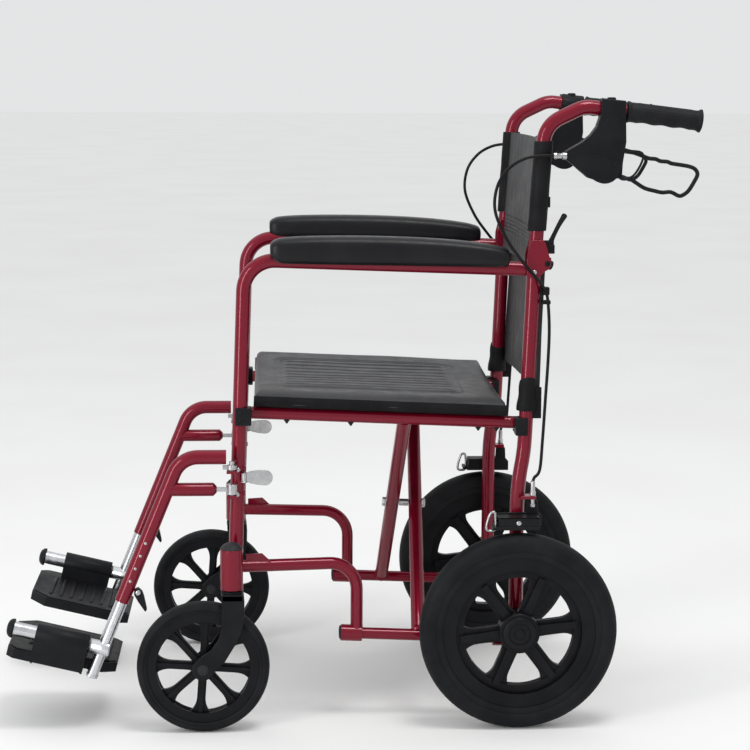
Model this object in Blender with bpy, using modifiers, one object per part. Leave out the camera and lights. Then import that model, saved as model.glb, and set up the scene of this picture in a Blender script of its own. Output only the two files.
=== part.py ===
"""Folding transport wheelchair: two side frames joined by an X brace, a folding back, swing-away footrests.

Metres, +Z up, the chair faces -Y, its left side is +X, and the origin is on the ground under its centre.
Side pieces are built once and mirrored in X by a sign. Lengths along the chair are given as the distance
behind the rear axle, because the frame is set out from there.
"""

import math

import bmesh
import bpy
from mathutils import Matrix, Vector

# ---------------------------------------------------------------- driving dimensions
REAR_AXLE_Y = 0.2594
REAR_TYRE_R = 0.1525
CASTER_TYRE_R = 0.1015
WHEEL_STEPS = 28
FACET = math.cos(math.pi / WHEEL_STEPS)
REAR_AXLE_Z = REAR_TYRE_R * FACET
CASTER_AXLE_Z = CASTER_TYRE_R * FACET

SIDE_X = 0.213          # plane of each side frame
REAR_WHEEL_X = 0.250
CASTER_X = 0.253
RAIL_X = 0.192          # seat rails and the brace's foot tubes
HANGER_X = 0.238
LEVER_X = 0.2215
CABLE_X = 0.231

TUBE_R = 0.011
THIN_TUBE_R = 0.0095
GAP = 0.0005            # clearance between pieces that touch
TUBE_SIDES = 12

SLOPE = math.radians(2.4)      # seat rails fall to the rear, and the brace folds about this slope
FOOT_H = 0.1239                # heights above ground, square to that slope
RAIL_H = 0.4641
BRACE_A_U = -0.1542            # places of the two cross tubes along the slope
BRACE_B_U = -0.1917

POST_TILT = 0.033              # the front post leans forward, as run over rise
POST_TOP_BEHIND = -0.4182
POST_TOP_Z = 0.6573
HANGER_TILT = 0.408            # footrest tube's run over rise
HANGER_END = (-0.6040, 0.199)  # behind the axle, height
AXLE_TILT = math.radians(13.6)  # footplate axle rises to the front
CASTER_BEHIND = -0.437
CASTER_TRAIL = 0.0437
SWING_BEHIND = -0.436
BACK_PIN = (0.0397, 0.712)
RELEASE_PIN = (0.0445, 0.726)
POST_KNEE, POST_TOP = (0.0107, 0.4450), (0.0211, 0.7045)
SEAT_FRONT, SEAT_REAR = -0.4030, -0.0190

RED = (0.23, 0.010, 0.022, 1.0)
BLACK = (0.015, 0.015, 0.017, 1.0)
GREY = (0.055, 0.055, 0.060, 1.0)
STEEL = (0.62, 0.62, 0.63, 1.0)

SIDES = {"left": 1.0, "right": -1.0}

for old in list(bpy.data.objects):
    bpy.data.objects.remove(old)


def collection(name):
    found = bpy.data.collections.get(name) or bpy.data.collections.new(name)
    if name not in bpy.context.scene.collection.children:
        bpy.context.scene.collection.children.link(found)
    return found


PARTS = collection("transport_wheelchair")
CUTTERS = collection("cutters")


def material(name, colour, roughness, metallic):
    made = bpy.data.materials.new(name)
    made.use_nodes = True
    shader = made.node_tree.nodes["Principled BSDF"]
    shader.inputs["Base Color"].default_value = colour
    shader.inputs["Roughness"].default_value = roughness
    shader.inputs["Metallic"].default_value = metallic
    made.diffuse_color = colour
    return made


PAINT = material("red_paint", RED, 0.30, 0.4)
PLASTIC = material("black_plastic", BLACK, 0.55, 0.0)
TYRE = material("tyre_rubber", GREY, 0.85, 0.0)
BARE = material("bare_steel", STEEL, 0.28, 1.0)
VINYL = material("black_vinyl", BLACK, 0.50, 0.0)
FOAM = material("black_foam", GREY, 0.75, 0.0)


# ---------------------------------------------------------------- frames of reference
def place(x, behind, z):
    """A point given by its distance behind the rear axle."""
    return Vector((x, REAR_AXLE_Y + behind, z))


def on_slope(x, along, height):
    """A point given along and square to the seat rails' slope."""
    behind = along * math.cos(SLOPE) + height * math.sin(SLOPE)
    return place(x, behind, height * math.cos(SLOPE) - along * math.sin(SLOPE))


def post_behind(z):
    return POST_TOP_BEHIND - (POST_TOP_Z - z) * POST_TILT


def hanger_behind(z):
    return HANGER_END[0] - (HANGER_END[1] - z) * HANGER_TILT


def rounded(corners, radius, steps=5):
    """The corner points of a path with each inner corner replaced by an arc."""
    points = [corners[0]]
    for before, corner, after in zip(corners, corners[1:], corners[2:]):
        into = (corner - before).normalized()
        out = (after - corner).normalized()
        turn = into.angle(out)
        reach = radius * math.tan(turn / 2)
        centre = corner + (out - into).normalized() * radius / math.cos(turn / 2)
        start = corner - into * reach - centre
        side = into.cross(out).normalized()
        for i in range(steps + 1):
            points.append(centre + Matrix.Rotation(turn * i / steps, 3, side) @ start)
    points.append(corners[-1])
    return points


def smooth(points, count):
    """A Catmull-Rom curve through the points, cut into count pieces between each pair."""
    ends = [points[0]] + list(points) + [points[-1]]
    out = []
    for a, b, c, d in zip(ends, ends[1:], ends[2:], ends[3:]):
        for i in range(count):
            t = i / count
            linear = (c - a) * t
            square = (2 * a - 5 * b + 4 * c - d) * t * t
            cube = (3 * b - a - 3 * c + d) * t**3
            out.append(0.5 * (2 * b + linear + square + cube))
    return out + [points[-1]]


# ---------------------------------------------------------------- shapes
def add(name, mesh, finish, cutter=False):
    made = bpy.data.objects.new(name, mesh)
    (CUTTERS if cutter else PARTS).objects.link(made)
    if cutter:
        made.hide_render = True
        made.display_type = "WIRE"
    else:
        mesh.materials.append(finish)
    return made


def from_bmesh(name, work, finish, cutter):
    bmesh.ops.recalc_face_normals(work, faces=work.faces)
    mesh = bpy.data.meshes.new(name)
    work.to_mesh(mesh)
    work.free()
    return add(name, mesh, finish, cutter)


def from_curve(name, curve, finish, cutter):
    """The evaluated mesh of a curve, with its caps welded on."""
    guide = bpy.data.objects.new(name + "_line", curve)
    CUTTERS.objects.link(guide)
    mesh = bpy.data.meshes.new_from_object(guide.evaluated_get(bpy.context.evaluated_depsgraph_get()))
    bpy.data.objects.remove(guide)
    work = bmesh.new()
    work.from_mesh(mesh)
    bmesh.ops.remove_doubles(work, verts=work.verts, dist=0.00001)
    return from_bmesh(name, work, finish, cutter)


def tube(name, points, radius, finish=None, sides=TUBE_SIDES, closed=False, cutter=False):
    curve = bpy.data.curves.new(name, "CURVE")
    curve.dimensions = "3D"
    curve.bevel_depth = radius
    curve.bevel_resolution = (sides - 4) // 2
    curve.use_fill_caps = True
    spline = curve.splines.new("POLY")
    spline.points.add(len(points) - 1)
    for slot, point in zip(spline.points, points):
        slot.co = (*point, 1.0)
    spline.use_cyclic_u = closed
    return from_curve(name, curve, finish, cutter)


def rod(name, start, end, radius, finish=None, sides=TUBE_SIDES, tip=None, cutter=False):
    """A cylinder, or a cone when tip gives another end radius."""
    along = end - start
    work = bmesh.new()
    bmesh.ops.create_cone(work, cap_ends=True, segments=sides, radius1=radius,
                          radius2=radius if tip is None else tip, depth=along.length)
    turn = Vector((0, 0, 1)).rotation_difference(along).to_matrix().to_4x4()
    bmesh.ops.transform(work, matrix=Matrix.Translation((start + end) / 2) @ turn, verts=work.verts)
    return from_bmesh(name, work, finish, cutter)


def block(name, low, high, finish=None, cutter=False):
    """A box between two corners."""
    work = bmesh.new()
    bmesh.ops.create_cube(work, size=1.0)
    size = Vector([abs(h - l) for l, h in zip(low, high)])
    middle = (Vector(low) + Vector(high)) / 2
    bmesh.ops.transform(work, matrix=Matrix.Translation(middle) @ Matrix.Diagonal((*size, 1)),
                        verts=work.verts)
    return from_bmesh(name, work, finish, cutter)


def slab(name, outline, thickness, finish=None, cutter=False):
    """A closed outline in its own XY plane, extruded evenly to both sides of it."""
    curve = bpy.data.curves.new(name, "CURVE")
    curve.dimensions = "2D"
    curve.fill_mode = "BOTH"
    curve.extrude = thickness / 2
    spline = curve.splines.new("POLY")
    spline.points.add(len(outline) - 1)
    for slot, corner in zip(spline.points, outline):
        slot.co = (*corner, 0.0, 1.0)
    spline.use_cyclic_u = True
    return from_curve(name, curve, finish, cutter)


def sheet(name, outline, x_low, x_high, finish=None, cutter=False):
    """A flat outline in (behind, z), extruded between two X planes."""
    made = slab(name, outline, abs(x_high - x_low), finish, cutter)
    upright = Matrix(((0, 0, 1), (1, 0, 0), (0, 1, 0))).to_4x4()
    made.matrix_world = Matrix.Translation(((x_low + x_high) / 2, REAR_AXLE_Y, 0)) @ upright
    return made


def move_mesh(made, matrix):
    """Moves the mesh itself, and turns its faces outward again after a mirroring move."""
    work = bmesh.new()
    work.from_mesh(made.data)
    bmesh.ops.transform(work, matrix=matrix, verts=work.verts)
    bmesh.ops.recalc_face_normals(work, faces=work.faces)
    work.to_mesh(made.data)
    work.free()


def turned(name, profile, centre, steps, finish=None):
    """A ring about X: a closed profile of (radius, x), the outer side first, from +X to -X."""
    work = bmesh.new()
    corners = [work.verts.new((radius, 0, x)) for radius, x in profile]
    for i, corner in enumerate(corners):
        work.edges.new((corner, corners[(i + 1) % len(corners)]))
    mesh = bpy.data.meshes.new(name)
    work.to_mesh(mesh)
    work.free()
    made = add(name, mesh, finish)
    screw = made.modifiers.new("turn", "SCREW")
    screw.steps = screw.render_steps = steps
    screw.use_merge_vertices = True
    screw.merge_threshold = 0.00001
    half_step = Matrix.Rotation(math.pi / steps, 4, "X")
    made.matrix_world = Matrix.Translation(centre) @ half_step @ Matrix.Rotation(math.pi / 2, 4, "Y")
    return made


def boolean(base, tool, operation):
    step = base.modifiers.new(operation.lower(), "BOOLEAN")
    step.operation = operation
    step.solver = "EXACT"
    step.object = tool
    return base


def unite(base, *others):
    for other in others:
        boolean(base, other, "UNION")
    return base


def cut(base, *tools):
    for tool in tools:
        boolean(base, tool, "DIFFERENCE")
    return base


def pivot(name, point, *pieces):
    """An empty on a joint's axis, which carries the pieces that move with it."""
    empty = bpy.data.objects.new(name, None)
    empty.empty_display_size = 0.03
    PARTS.objects.link(empty)
    empty.location = point
    bpy.context.view_layer.update()
    for piece in pieces:
        world = piece.matrix_world.copy()
        piece.parent = empty
        piece.matrix_parent_inverse = empty.matrix_world.inverted()
        piece.matrix_world = world
    return empty


# ---------------------------------------------------------------- side frames
def caster_barrel(n, s):
    """The caster's housing, welded beside the foot of the front post, with the post's two hinge lugs."""
    x = s * CASTER_X
    barrel = rod(n + "_barrel", place(x, CASTER_BEHIND, 0.220), place(x, CASTER_BEHIND, 0.283), 0.0173,
                 cutter=True)
    cap = rod(n + "_cap", place(x, CASTER_BEHIND, 0.2825), place(x, CASTER_BEHIND, 0.291), 0.0170,
              tip=0.0110, cutter=True)
    web = block(n + "_web", place(s * SIDE_X, -0.4400, 0.234), place(x, -0.4280, 0.275), cutter=True)
    pieces = [barrel, cap, web]
    swing = s * HANGER_X
    for low, lug_z, pin_z in (("low", 0.3585, 0.3805), ("high", 0.3965, 0.4110)):
        corner = place(s * SIDE_X, -0.4440, lug_z)
        pieces.append(block(n + "_lug_" + low, corner, place(swing + s * 0.009, -0.4285, lug_z + 0.004),
                            cutter=True))
        foot = place(swing, SWING_BEHIND, lug_z + 0.002)
        pieces.append(rod(n + "_pin_" + low, foot, place(swing, SWING_BEHIND, pin_z), 0.0040, sides=8,
                          cutter=True))
    return pieces


def front_frame_tube(side, s):
    """Arm tube and front post, one bent tube."""
    name = "front_frame_tube_" + side
    x = s * SIDE_X
    corner_z = 0.7173
    points = rounded([
        place(x, 0.0080, 0.7032), place(x, post_behind(corner_z), corner_z),
        place(x, post_behind(0.232), 0.232),
    ], 0.047)
    made = unite(tube(name, points, TUBE_R, PAINT), *caster_barrel(name, s))
    x = s * CASTER_X
    return cut(made, rod(name + "_bore", place(x, CASTER_BEHIND, 0.210), place(x, CASTER_BEHIND, 0.2765),
                         0.0086, cutter=True))


def foot_sleeve(name, s, front, rear):
    """A sleeve for the brace's foot tube, and its bore."""
    sleeve = rod(name + "_sleeve", on_slope(s * RAIL_X, front, FOOT_H),
                 on_slope(s * RAIL_X, rear, FOOT_H), 0.0128, cutter=True)
    bore = rod(name + "_bore", on_slope(s * RAIL_X, front - 0.01, FOOT_H),
               on_slope(s * RAIL_X, rear + 0.01, FOOT_H), 0.0098, sides=16, cutter=True)
    return sleeve, bore


def lower_side_tube(side, s):
    name = "lower_side_tube_" + side
    top_z = 0.2465
    down_behind = -0.2450
    start = place(s * SIDE_X, post_behind(top_z) + TUBE_R + 2 * GAP, top_z)
    points = rounded([
        start, place(s * RAIL_X, down_behind, top_z), place(s * RAIL_X, down_behind, 0.1370),
    ], 0.042)
    sleeve, bore = foot_sleeve(name, s, -0.2750, -0.2420)
    gusset = block(name + "_gusset", place(s * (SIDE_X - 0.004), -0.4190, top_z),
                   place(s * (SIDE_X + 0.003), -0.3800, 0.2660), cutter=True)
    return cut(unite(tube(name, points, THIN_TUBE_R, PAINT), sleeve, gusset), bore)


def back_post(side, s):
    """Rear post up to the back's hinge, with the wheel's axle and the brake cable's tab."""
    name = "back_post_" + side
    x = s * SIDE_X
    points = [
        place(x, 0.0, 0.1280), place(x, 0.0, 0.3500), place(x, 0.0030, 0.3820), place(x, 0.0080, 0.4150),
        place(x, *POST_KNEE), place(x, *POST_TOP),
    ]
    sleeve, bore = foot_sleeve(name, s, -0.0380, -0.0100)
    tab = block(name + "_tab", place(x, 0.0035, 0.3520), place(s * 0.2340, 0.0270, 0.3570), cutter=True)
    axle = rod(name + "_axle", place(x, 0, REAR_AXLE_Z), place(s * 0.2680, 0, REAR_AXLE_Z), 0.0060,
               cutter=True)
    return cut(unite(tube(name, points, TUBE_R, PAINT), sleeve, tab, axle), bore)


def arm_pad(side, s):
    name = "arm_pad_" + side
    outline = [(-0.3770, 0.7340), (-0.3720, 0.7240), (-0.3600, 0.7170), (-0.0240, 0.7070),
               (-0.0180, 0.7170),
               (-0.0200, 0.7290), (-0.0600, 0.7430), (-0.1400, 0.7510), (-0.2500, 0.7540),
               (-0.3400, 0.7530), (-0.3640, 0.7470)]
    pad = sheet(name, outline, s * 0.199, s * 0.249, FOAM)
    groove = rod(name + "_groove", place(s * SIDE_X, -0.4200, 0.7174), place(s * SIDE_X, 0.0300, 0.7025),
                 TUBE_R + 0.0008, cutter=True)
    below = block(name + "_below", place(s * (SIDE_X - TUBE_R - 0.0008), -0.4200, 0.6900),
                  place(s * (SIDE_X + TUBE_R + 0.0008), 0.0300, 0.7080), cutter=True)
    return cut(pad, groove, below)


def seat_saddle(side, end, s):
    """Block on a post, with a ledge and an outer cheek, open above so that the rail lifts out."""
    name = f"seat_saddle_{end}_{side}"
    behind, wall, reach = {"front": (-0.4120, -0.4085, -0.3960), "rear": (-0.0006, -0.0045, -0.0160)}[end]
    rail_z = on_slope(0, behind - 0.012, RAIL_H).z
    low = rail_z - THIN_TUBE_R - 0.010
    under = rail_z - THIN_TUBE_R - 0.0012
    high = rail_z + 0.008
    middle = (behind + wall) / 2
    ledge = block(name, place(s * 0.1810, middle, low), place(s * 0.2190, reach, under), PLASTIC)
    stop = block(name + "_stop", place(s * 0.1820, behind, low + 0.0010), place(s * 0.2210, wall, high),
                 cutter=True)
    cheek = block(name + "_cheek", place(s * 0.2030, middle, low - 0.0010),
                  place(s * 0.2230, reach - 0.0005, high - 0.0010), cutter=True)
    return unite(ledge, stop, cheek)


def fold_bracket(side, s):
    """Plate beside the top of the rear post, with the pin that the back turns on."""
    name = "fold_bracket_" + side
    outline = [(0.0085, 0.6930), (0.0270, 0.6915), (0.0370, 0.7010), (0.0475, 0.7060), (0.0490, 0.7160),
               (0.0425, 0.7320), (0.0365, 0.7470), (0.0145, 0.7470), (0.0085, 0.7250)]
    plate = sheet(name, outline, s * 0.2246, s * 0.2276, PAINT)
    pin = rod(name + "_pin", place(s * 0.2025, *BACK_PIN), place(s * 0.2350, *BACK_PIN), 0.0040, sides=8,
              cutter=True)
    knob = rod(name + "_knob", place(s * 0.2270, *BACK_PIN), place(s * 0.2360, *BACK_PIN), 0.0065,
               cutter=True)
    return unite(plate, pin, knob)


def side_frame(side, s):
    front_frame_tube(side, s)
    lower_side_tube(side, s)
    back_post(side, s)
    arm_pad(side, s)
    seat_saddle(side, "front", s)
    seat_saddle(side, "rear", s)
    fold_bracket(side, s)


# ---------------------------------------------------------------- wheels
def spokes(name, centre, count, first, inner, outer, width, half_depth):
    """Flat bars from the hub to the rim, at equal angles."""
    made = []
    for i in range(count):
        turn = Matrix.Rotation(math.radians(first + 360 * i / count), 4, "X")
        work = bmesh.new()
        bmesh.ops.create_cube(work, size=1.0)
        size = Matrix.Diagonal((2 * half_depth, outer - inner, width, 1))
        shift = Matrix.Translation((0, (inner + outer) / 2, 0))
        bmesh.ops.transform(work, matrix=Matrix.Translation(centre) @ turn @ shift @ size, verts=work.verts)
        made.append(from_bmesh(f"{name}_spoke_{i}", work, None, True))
    return made


def rear_wheel(side, s):
    centre = place(s * REAR_WHEEL_X, 0, REAR_AXLE_Z)
    across = Vector((s, 0, 0))
    name = "rear_rim_" + side
    rim = turned(name, [(0.1170, 0.0150), (0.1170, -0.0150), (0.0900, -0.0150), (0.0900, 0.0150)], centre,
                 WHEEL_STEPS, PLASTIC)
    hub = rod(name + "_hub", centre - across * 0.0235, centre + across * 0.0220, 0.0310, sides=20,
              cutter=True)
    cap = rod(name + "_cap", centre + across * 0.0215, centre + across * 0.0265, 0.0280, sides=20,
              tip=0.0240, cutter=True)
    bore = rod(name + "_bore", centre - across * 0.0300, centre + across * 0.0195, 0.0068, sides=16,
               cutter=True)
    bars = spokes(name, centre, 6, 7.0, 0.0250, 0.0940, 0.0240, 0.0100)
    cut(unite(rim, hub, cap, *bars), bore)
    tread = [(0.1495, 0.0150), (0.1525, 0.0070), (0.1525, -0.0070), (0.1495, -0.0150), (0.1420, -0.0205),
             (0.1176, -0.0170), (0.1176, 0.0170), (0.1420, 0.0205)]
    tyre = turned("rear_tyre_" + side, tread, centre, WHEEL_STEPS, TYRE)
    pivot("rear_wheel_axis_" + side, centre, rim, tyre)


def caster_fork(side, s, stem, axle):
    """Crown and stem above the wheel, and a curved leg on each side of it that holds the axle."""
    name = "caster_fork_" + side
    x = s * CASTER_X
    behind, hub_r = axle[0], 0.0165
    arc = [(behind + hub_r * math.cos(math.radians(a)), axle[1] + hub_r * math.sin(math.radians(a)))
           for a in range(-20, -201, -36)]
    outline = [(-0.4205, 0.2165), (-0.4185, 0.1800), (-0.4270, 0.1450), (-0.4470, 0.1130)] + arc
    outline += [(-0.4870, 0.1200), (-0.4620, 0.1360), (-0.4520, 0.1600), (-0.4535, 0.2165)]
    crown = block(name, place(x - 0.0235, -0.4535, 0.2060), place(x + 0.0235, -0.4205, 0.2165), PLASTIC)
    legs = [sheet(f"{name}_leg_{i}", outline, x + inner, x + outer, cutter=True)
            for i, (inner, outer) in enumerate(((-0.0235, -0.0195), (0.0195, 0.0235)))]
    shaft = rod(name + "_axle", place(x - 0.0230, *axle), place(x + 0.0230, *axle), 0.0050, cutter=True)
    post = rod(name + "_stem", stem + Vector((0, 0, 0.2100)), stem + Vector((0, 0, 0.2745)), 0.0075,
               cutter=True)
    return unite(crown, *legs, shaft, post)


def caster(side, s):
    stem = place(s * CASTER_X, CASTER_BEHIND, 0)
    axle = (CASTER_BEHIND - CASTER_TRAIL, CASTER_AXLE_Z)
    centre = place(s * CASTER_X, *axle)
    across = Vector((s, 0, 0))
    fork = caster_fork(side, s, stem, axle)
    name = "caster_rim_" + side
    rim = turned(name, [(0.0850, 0.0110), (0.0850, -0.0110), (0.0700, -0.0110), (0.0700, 0.0110)], centre,
                 WHEEL_STEPS, PLASTIC)
    hub = rod(name + "_hub", centre - across * 0.0185, centre + across * 0.0185, 0.0150, sides=16,
              cutter=True)
    bore = rod(name + "_bore", centre - across * 0.0300, centre + across * 0.0300, 0.0056, sides=16,
               cutter=True)
    bars = spokes(name, centre, 8, -12.0, 0.0110, 0.0740, 0.0120, 0.0080)
    cut(unite(rim, hub, *bars), bore)
    tread = [(0.0995, 0.0100), (0.1015, 0.0045), (0.1015, -0.0045), (0.0995, -0.0100), (0.0930, -0.0150),
             (0.0856, -0.0130), (0.0856, 0.0130), (0.0930, 0.0150)]
    tyre = turned("caster_tyre_" + side, tread, centre, WHEEL_STEPS, TYRE)
    wheel = pivot("caster_axle_axis_" + side, centre, rim, tyre)
    pivot("caster_swivel_axis_" + side, stem, fork, wheel)


# ---------------------------------------------------------------- footrests
def hanger(side, s):
    """Bent footrest tube with a short stay, both ending in eyes on the front post's hinge pins."""
    name = "hanger_" + side
    x = s * HANGER_X
    top_z, stay_z = 0.4210, 0.3716
    made = tube(name, rounded([place(x, -0.4446, top_z), place(x, hanger_behind(top_z), top_z),
                               place(x, *HANGER_END)],
                              0.036), TUBE_R, PAINT)
    stay = rod(name + "_stay", place(x, hanger_behind(stay_z), stay_z), place(x, -0.4590, stay_z), 0.0102,
               cutter=True)
    joined = [stay]
    for label, low, high, reach, half in (("low", 0.3635, 0.3795, -0.4640, 0.004),
                                          ("high", 0.4015, 0.4090, -0.4600, 0.006)):
        joined.append(rod(f"{name}_eye_{label}", place(x, SWING_BEHIND, low),
                          place(x, SWING_BEHIND, high), 0.0090, sides=16, cutter=True))
        middle = (low + high) / 2
        rise = 0.004 if label == "low" else 0.0065
        joined.append(block(f"{name}_tongue_{label}", place(x - half, reach, middle - 0.0035),
                            place(x + half, SWING_BEHIND - 0.0065, middle + rise), cutter=True))
    eye_bore = rod(name + "_eye_bore", place(x, SWING_BEHIND, 0.3500), place(x, SWING_BEHIND, 0.4094),
                   0.0048, sides=16, cutter=True)
    socket = rod(name + "_socket", place(x, hanger_behind(0.190), 0.190),
                 place(x, hanger_behind(0.318), 0.318), 0.0097, cutter=True)
    return cut(unite(made, *joined), eye_bore, socket)


def footrest_extension(side, s):
    """Steel tube in the hanger's lower end, with the footplate's axle and its end cap."""
    name = "footrest_extension_" + side
    x = s * HANGER_X
    made = rod(name, place(x, hanger_behind(0.083), 0.083), place(x, hanger_behind(0.262), 0.262), 0.0088,
               BARE)
    start, run = footplate_axle(x)
    axle = rod(name + "_axle", start, start + run * 0.1390, 0.0110, cutter=True)
    cap = rod(name + "_cap", start + run * 0.1385, start + run * 0.1480, 0.0150, tip=0.0080, cutter=True)
    return unite(made, axle, cap)


def footplate_axle(x):
    """The axle's first point, in the extension tube, and its direction, forward and up."""
    return place(x, hanger_behind(0.1262), 0.1262), Vector((0, -math.cos(AXLE_TILT), math.sin(AXLE_TILT)))


def footplate(side, s):
    """Hinge barrel on the axle, with the tread plate that reaches inward below it."""
    name = "footplate_" + side
    start, run = footplate_axle(0.0)
    up = Vector((0, math.sin(AXLE_TILT), math.cos(AXLE_TILT)))
    place_it = Matrix.Translation(start) @ Matrix((Vector((s, 0, 0)), run, up)).transposed().to_4x4()
    outer, step_x, inner = 0.2545, 0.2210, 0.0740
    rear, neck, front, chamfer = -0.0270, 0.0220, 0.1400, 0.0260
    outline = [(outer, neck), (outer, front), (inner + chamfer, front), (inner, front - chamfer),
               (inner, rear + 0.5 * chamfer),
               (inner + 0.5 * chamfer, rear), (step_x - chamfer, rear), (step_x, neck - 0.02),
               (step_x, neck)]
    top, bottom = -0.0245, -0.0410
    plate = slab(name, outline, top - bottom, PLASTIC)
    move_mesh(plate, place_it @ Matrix.Translation((0, 0, (top + bottom) / 2)))
    x = Vector((s * HANGER_X, 0, 0))
    barrel = rod(name + "_barrel", start + x + run * neck, start + x + run * 0.1030, 0.0165, sides=16,
                 cutter=True)
    web = block(name + "_web", (HANGER_X - 0.0160, neck, top - 0.005),
                (HANGER_X + 0.0160, 0.1030, -0.0020), cutter=True)
    web.matrix_world = place_it
    bore = rod(name + "_bore", start + x, start + x + run * 0.1200, 0.0121, sides=16, cutter=True)
    return cut(unite(plate, web, barrel), bore)


def length_lever(side, s):
    """Cam lever behind the hanger's lower end, which locks the footrest's length."""
    name = "length_lever_" + side
    x = s * HANGER_X
    hub = rod(name, place(x - 0.008, -0.5788, 0.2140), place(x + 0.008, -0.5788, 0.2140), 0.0060, PLASTIC)
    blade = sheet(name + "_blade", [(-0.5800, 0.2190), (-0.5720, 0.2080), (-0.5660, 0.1860),
                                    (-0.5690, 0.1840),
                                    (-0.5800, 0.2020), (-0.5840, 0.2120)], x - 0.0060, x + 0.0060,
                                    cutter=True)
    return unite(hub, blade)


def hanger_latch(side, s):
    """Paddle beside the front post, which frees the hanger to swing."""
    name = "hanger_latch_" + side
    x = s * 0.2300
    hub = rod(name, place(x, -0.4175, 0.3820), place(x, -0.4175, 0.3950), 0.0050, BARE)
    paddle = sheet(name + "_paddle", [(-0.4190, 0.3830), (-0.4190, 0.3940), (-0.4050, 0.3990),
                                      (-0.3850, 0.3990),
                                      (-0.3760, 0.3920), (-0.3740, 0.3860), (-0.3780, 0.3780),
                                      (-0.3860, 0.3755),
                                      (-0.4050, 0.3780)], x - 0.0015, x + 0.0015, cutter=True)
    return unite(hub, paddle)


def footrest(side, s):
    extension, plate, lever = footrest_extension(side, s), footplate(side, s), length_lever(side, s)
    start = footplate_axle(s * HANGER_X)[0]
    plate_axis = pivot("footplate_axis_" + side, start, plate)
    slide = pivot("footrest_slide_" + side, place(s * HANGER_X, *HANGER_END), extension, plate_axis)
    lever_axis = pivot("length_lever_axis_" + side, place(s * HANGER_X, -0.5788, 0.2140), lever)
    pivot("hanger_axis_" + side, place(s * HANGER_X, SWING_BEHIND, 0.3716), hanger(side, s), slide,
          lever_axis)
    pivot("hanger_latch_axis_" + side, place(s * 0.2300, -0.4175, 0.3885), hanger_latch(side, s))


# ---------------------------------------------------------------- folding back
CANE_FOOT, CANE_BEND = (0.0208, 0.7060), (0.0345, 0.9190)
CANE_TOP, CANE_END = (0.0931, 0.9470), (0.2620, 0.9265)


def back_cane(side, s):
    """Upper back tube and push handle, with the ear that turns on the bracket's pin."""
    name = "back_cane_" + side
    x = s * SIDE_X
    corners = [place(x, *point) for point in (CANE_FOOT, CANE_BEND, CANE_TOP, CANE_END)]
    made = tube(name, rounded(corners[:3], 0.042)[:-1] + rounded(corners[1:], 0.042, 3)[1:], TUBE_R, PAINT)
    ear = block(name + "_ear", place(x - 0.0095, 0.0237, 0.7062), place(x + 0.0095, 0.0467, 0.7210),
                cutter=True)
    bore = rod(name + "_bore", place(x - 0.02, *BACK_PIN), place(x + 0.02, *BACK_PIN), 0.0048, sides=16,
               cutter=True)
    return cut(unite(made, ear), bore)


def on_handle(x, behind):
    """A point on the push handle's axis."""
    share = (behind - CANE_TOP[0]) / (CANE_END[0] - CANE_TOP[0])
    return place(x, behind, CANE_TOP[1] + share * (CANE_END[1] - CANE_TOP[1]))


def grip(side, s):
    name = "grip_" + side
    x = s * SIDE_X
    sleeve = rod(name, on_handle(x, 0.1575), on_handle(x, 0.2685), 0.0155, FOAM, sides=16)
    flange = rod(name + "_flange", on_handle(x, 0.2640), on_handle(x, 0.2680), 0.0175, sides=16,
                 cutter=True)
    bore = rod(name + "_bore", on_handle(x, 0.1500), on_handle(x, 0.2630), TUBE_R + 0.0008, sides=16,
               cutter=True)
    return cut(unite(sleeve, flange), bore)


def brake_housing(side, s):
    """Clamp on the push handle, with a body below it that holds the levers in a slot."""
    name = "brake_housing_" + side
    outline = [(0.1170, 0.9560), (0.1160, 0.9300), (0.1040, 0.9080), (0.0900, 0.8950), (0.0640, 0.8820),
               (0.0620, 0.8690),
               (0.0980, 0.8360), (0.1140, 0.8310), (0.1330, 0.8390), (0.1450, 0.8540), (0.1510, 0.8900),
               (0.1535, 0.9500)]
    body = sheet(name, outline, s * 0.2095, s * 0.2335, PLASTIC)
    clamp = rod(name + "_clamp", on_handle(s * SIDE_X, 0.1175), on_handle(s * SIDE_X, 0.1535), 0.0155,
                sides=16, cutter=True)
    ferrule = rod(name + "_ferrule", place(s * CABLE_X, 0.0460, 0.8740),
                  place(s * CABLE_X, 0.0700, 0.8740), 0.0045, sides=8, cutter=True)
    bore = rod(name + "_bore", on_handle(s * SIDE_X, 0.0980), on_handle(s * SIDE_X, 0.1700),
               TUBE_R + 0.0008, sides=16, cutter=True)
    slot = block(name + "_slot", place(s * (LEVER_X - 0.0060), 0.1230, 0.8200),
                 place(s * (LEVER_X + 0.0085), 0.1700, 0.9000), cutter=True)
    return cut(unite(body, clamp, ferrule), bore, slot)


LEVER_PIN = (0.1440, 0.8610)


def brake_lever(side, s):
    """Long wire loop with a finger rest, on a hub in the housing's slot."""
    name = "brake_lever_" + side
    x = s * LEVER_X
    outline = [(0.1470, 0.8800), (0.1580, 0.8805), (0.1917, 0.8708), (0.2525, 0.8574), (0.2620, 0.8530),
               (0.2650, 0.8455),
               (0.2500, 0.8200), (0.2385, 0.8140), (0.2004, 0.8214), (0.1780, 0.8290), (0.1591, 0.8408),
               (0.1460, 0.8440)]
    loop = tube(name, [place(x, *point) for point in outline], 0.0030, PLASTIC, sides=8, closed=True)
    hub = sheet(name + "_hub", [(0.1380, 0.8420), (0.1500, 0.8420), (0.1520, 0.8820), (0.1420, 0.8820)],
                x - 0.0030, x + 0.0030, cutter=True)
    return unite(loop, hub)


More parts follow.
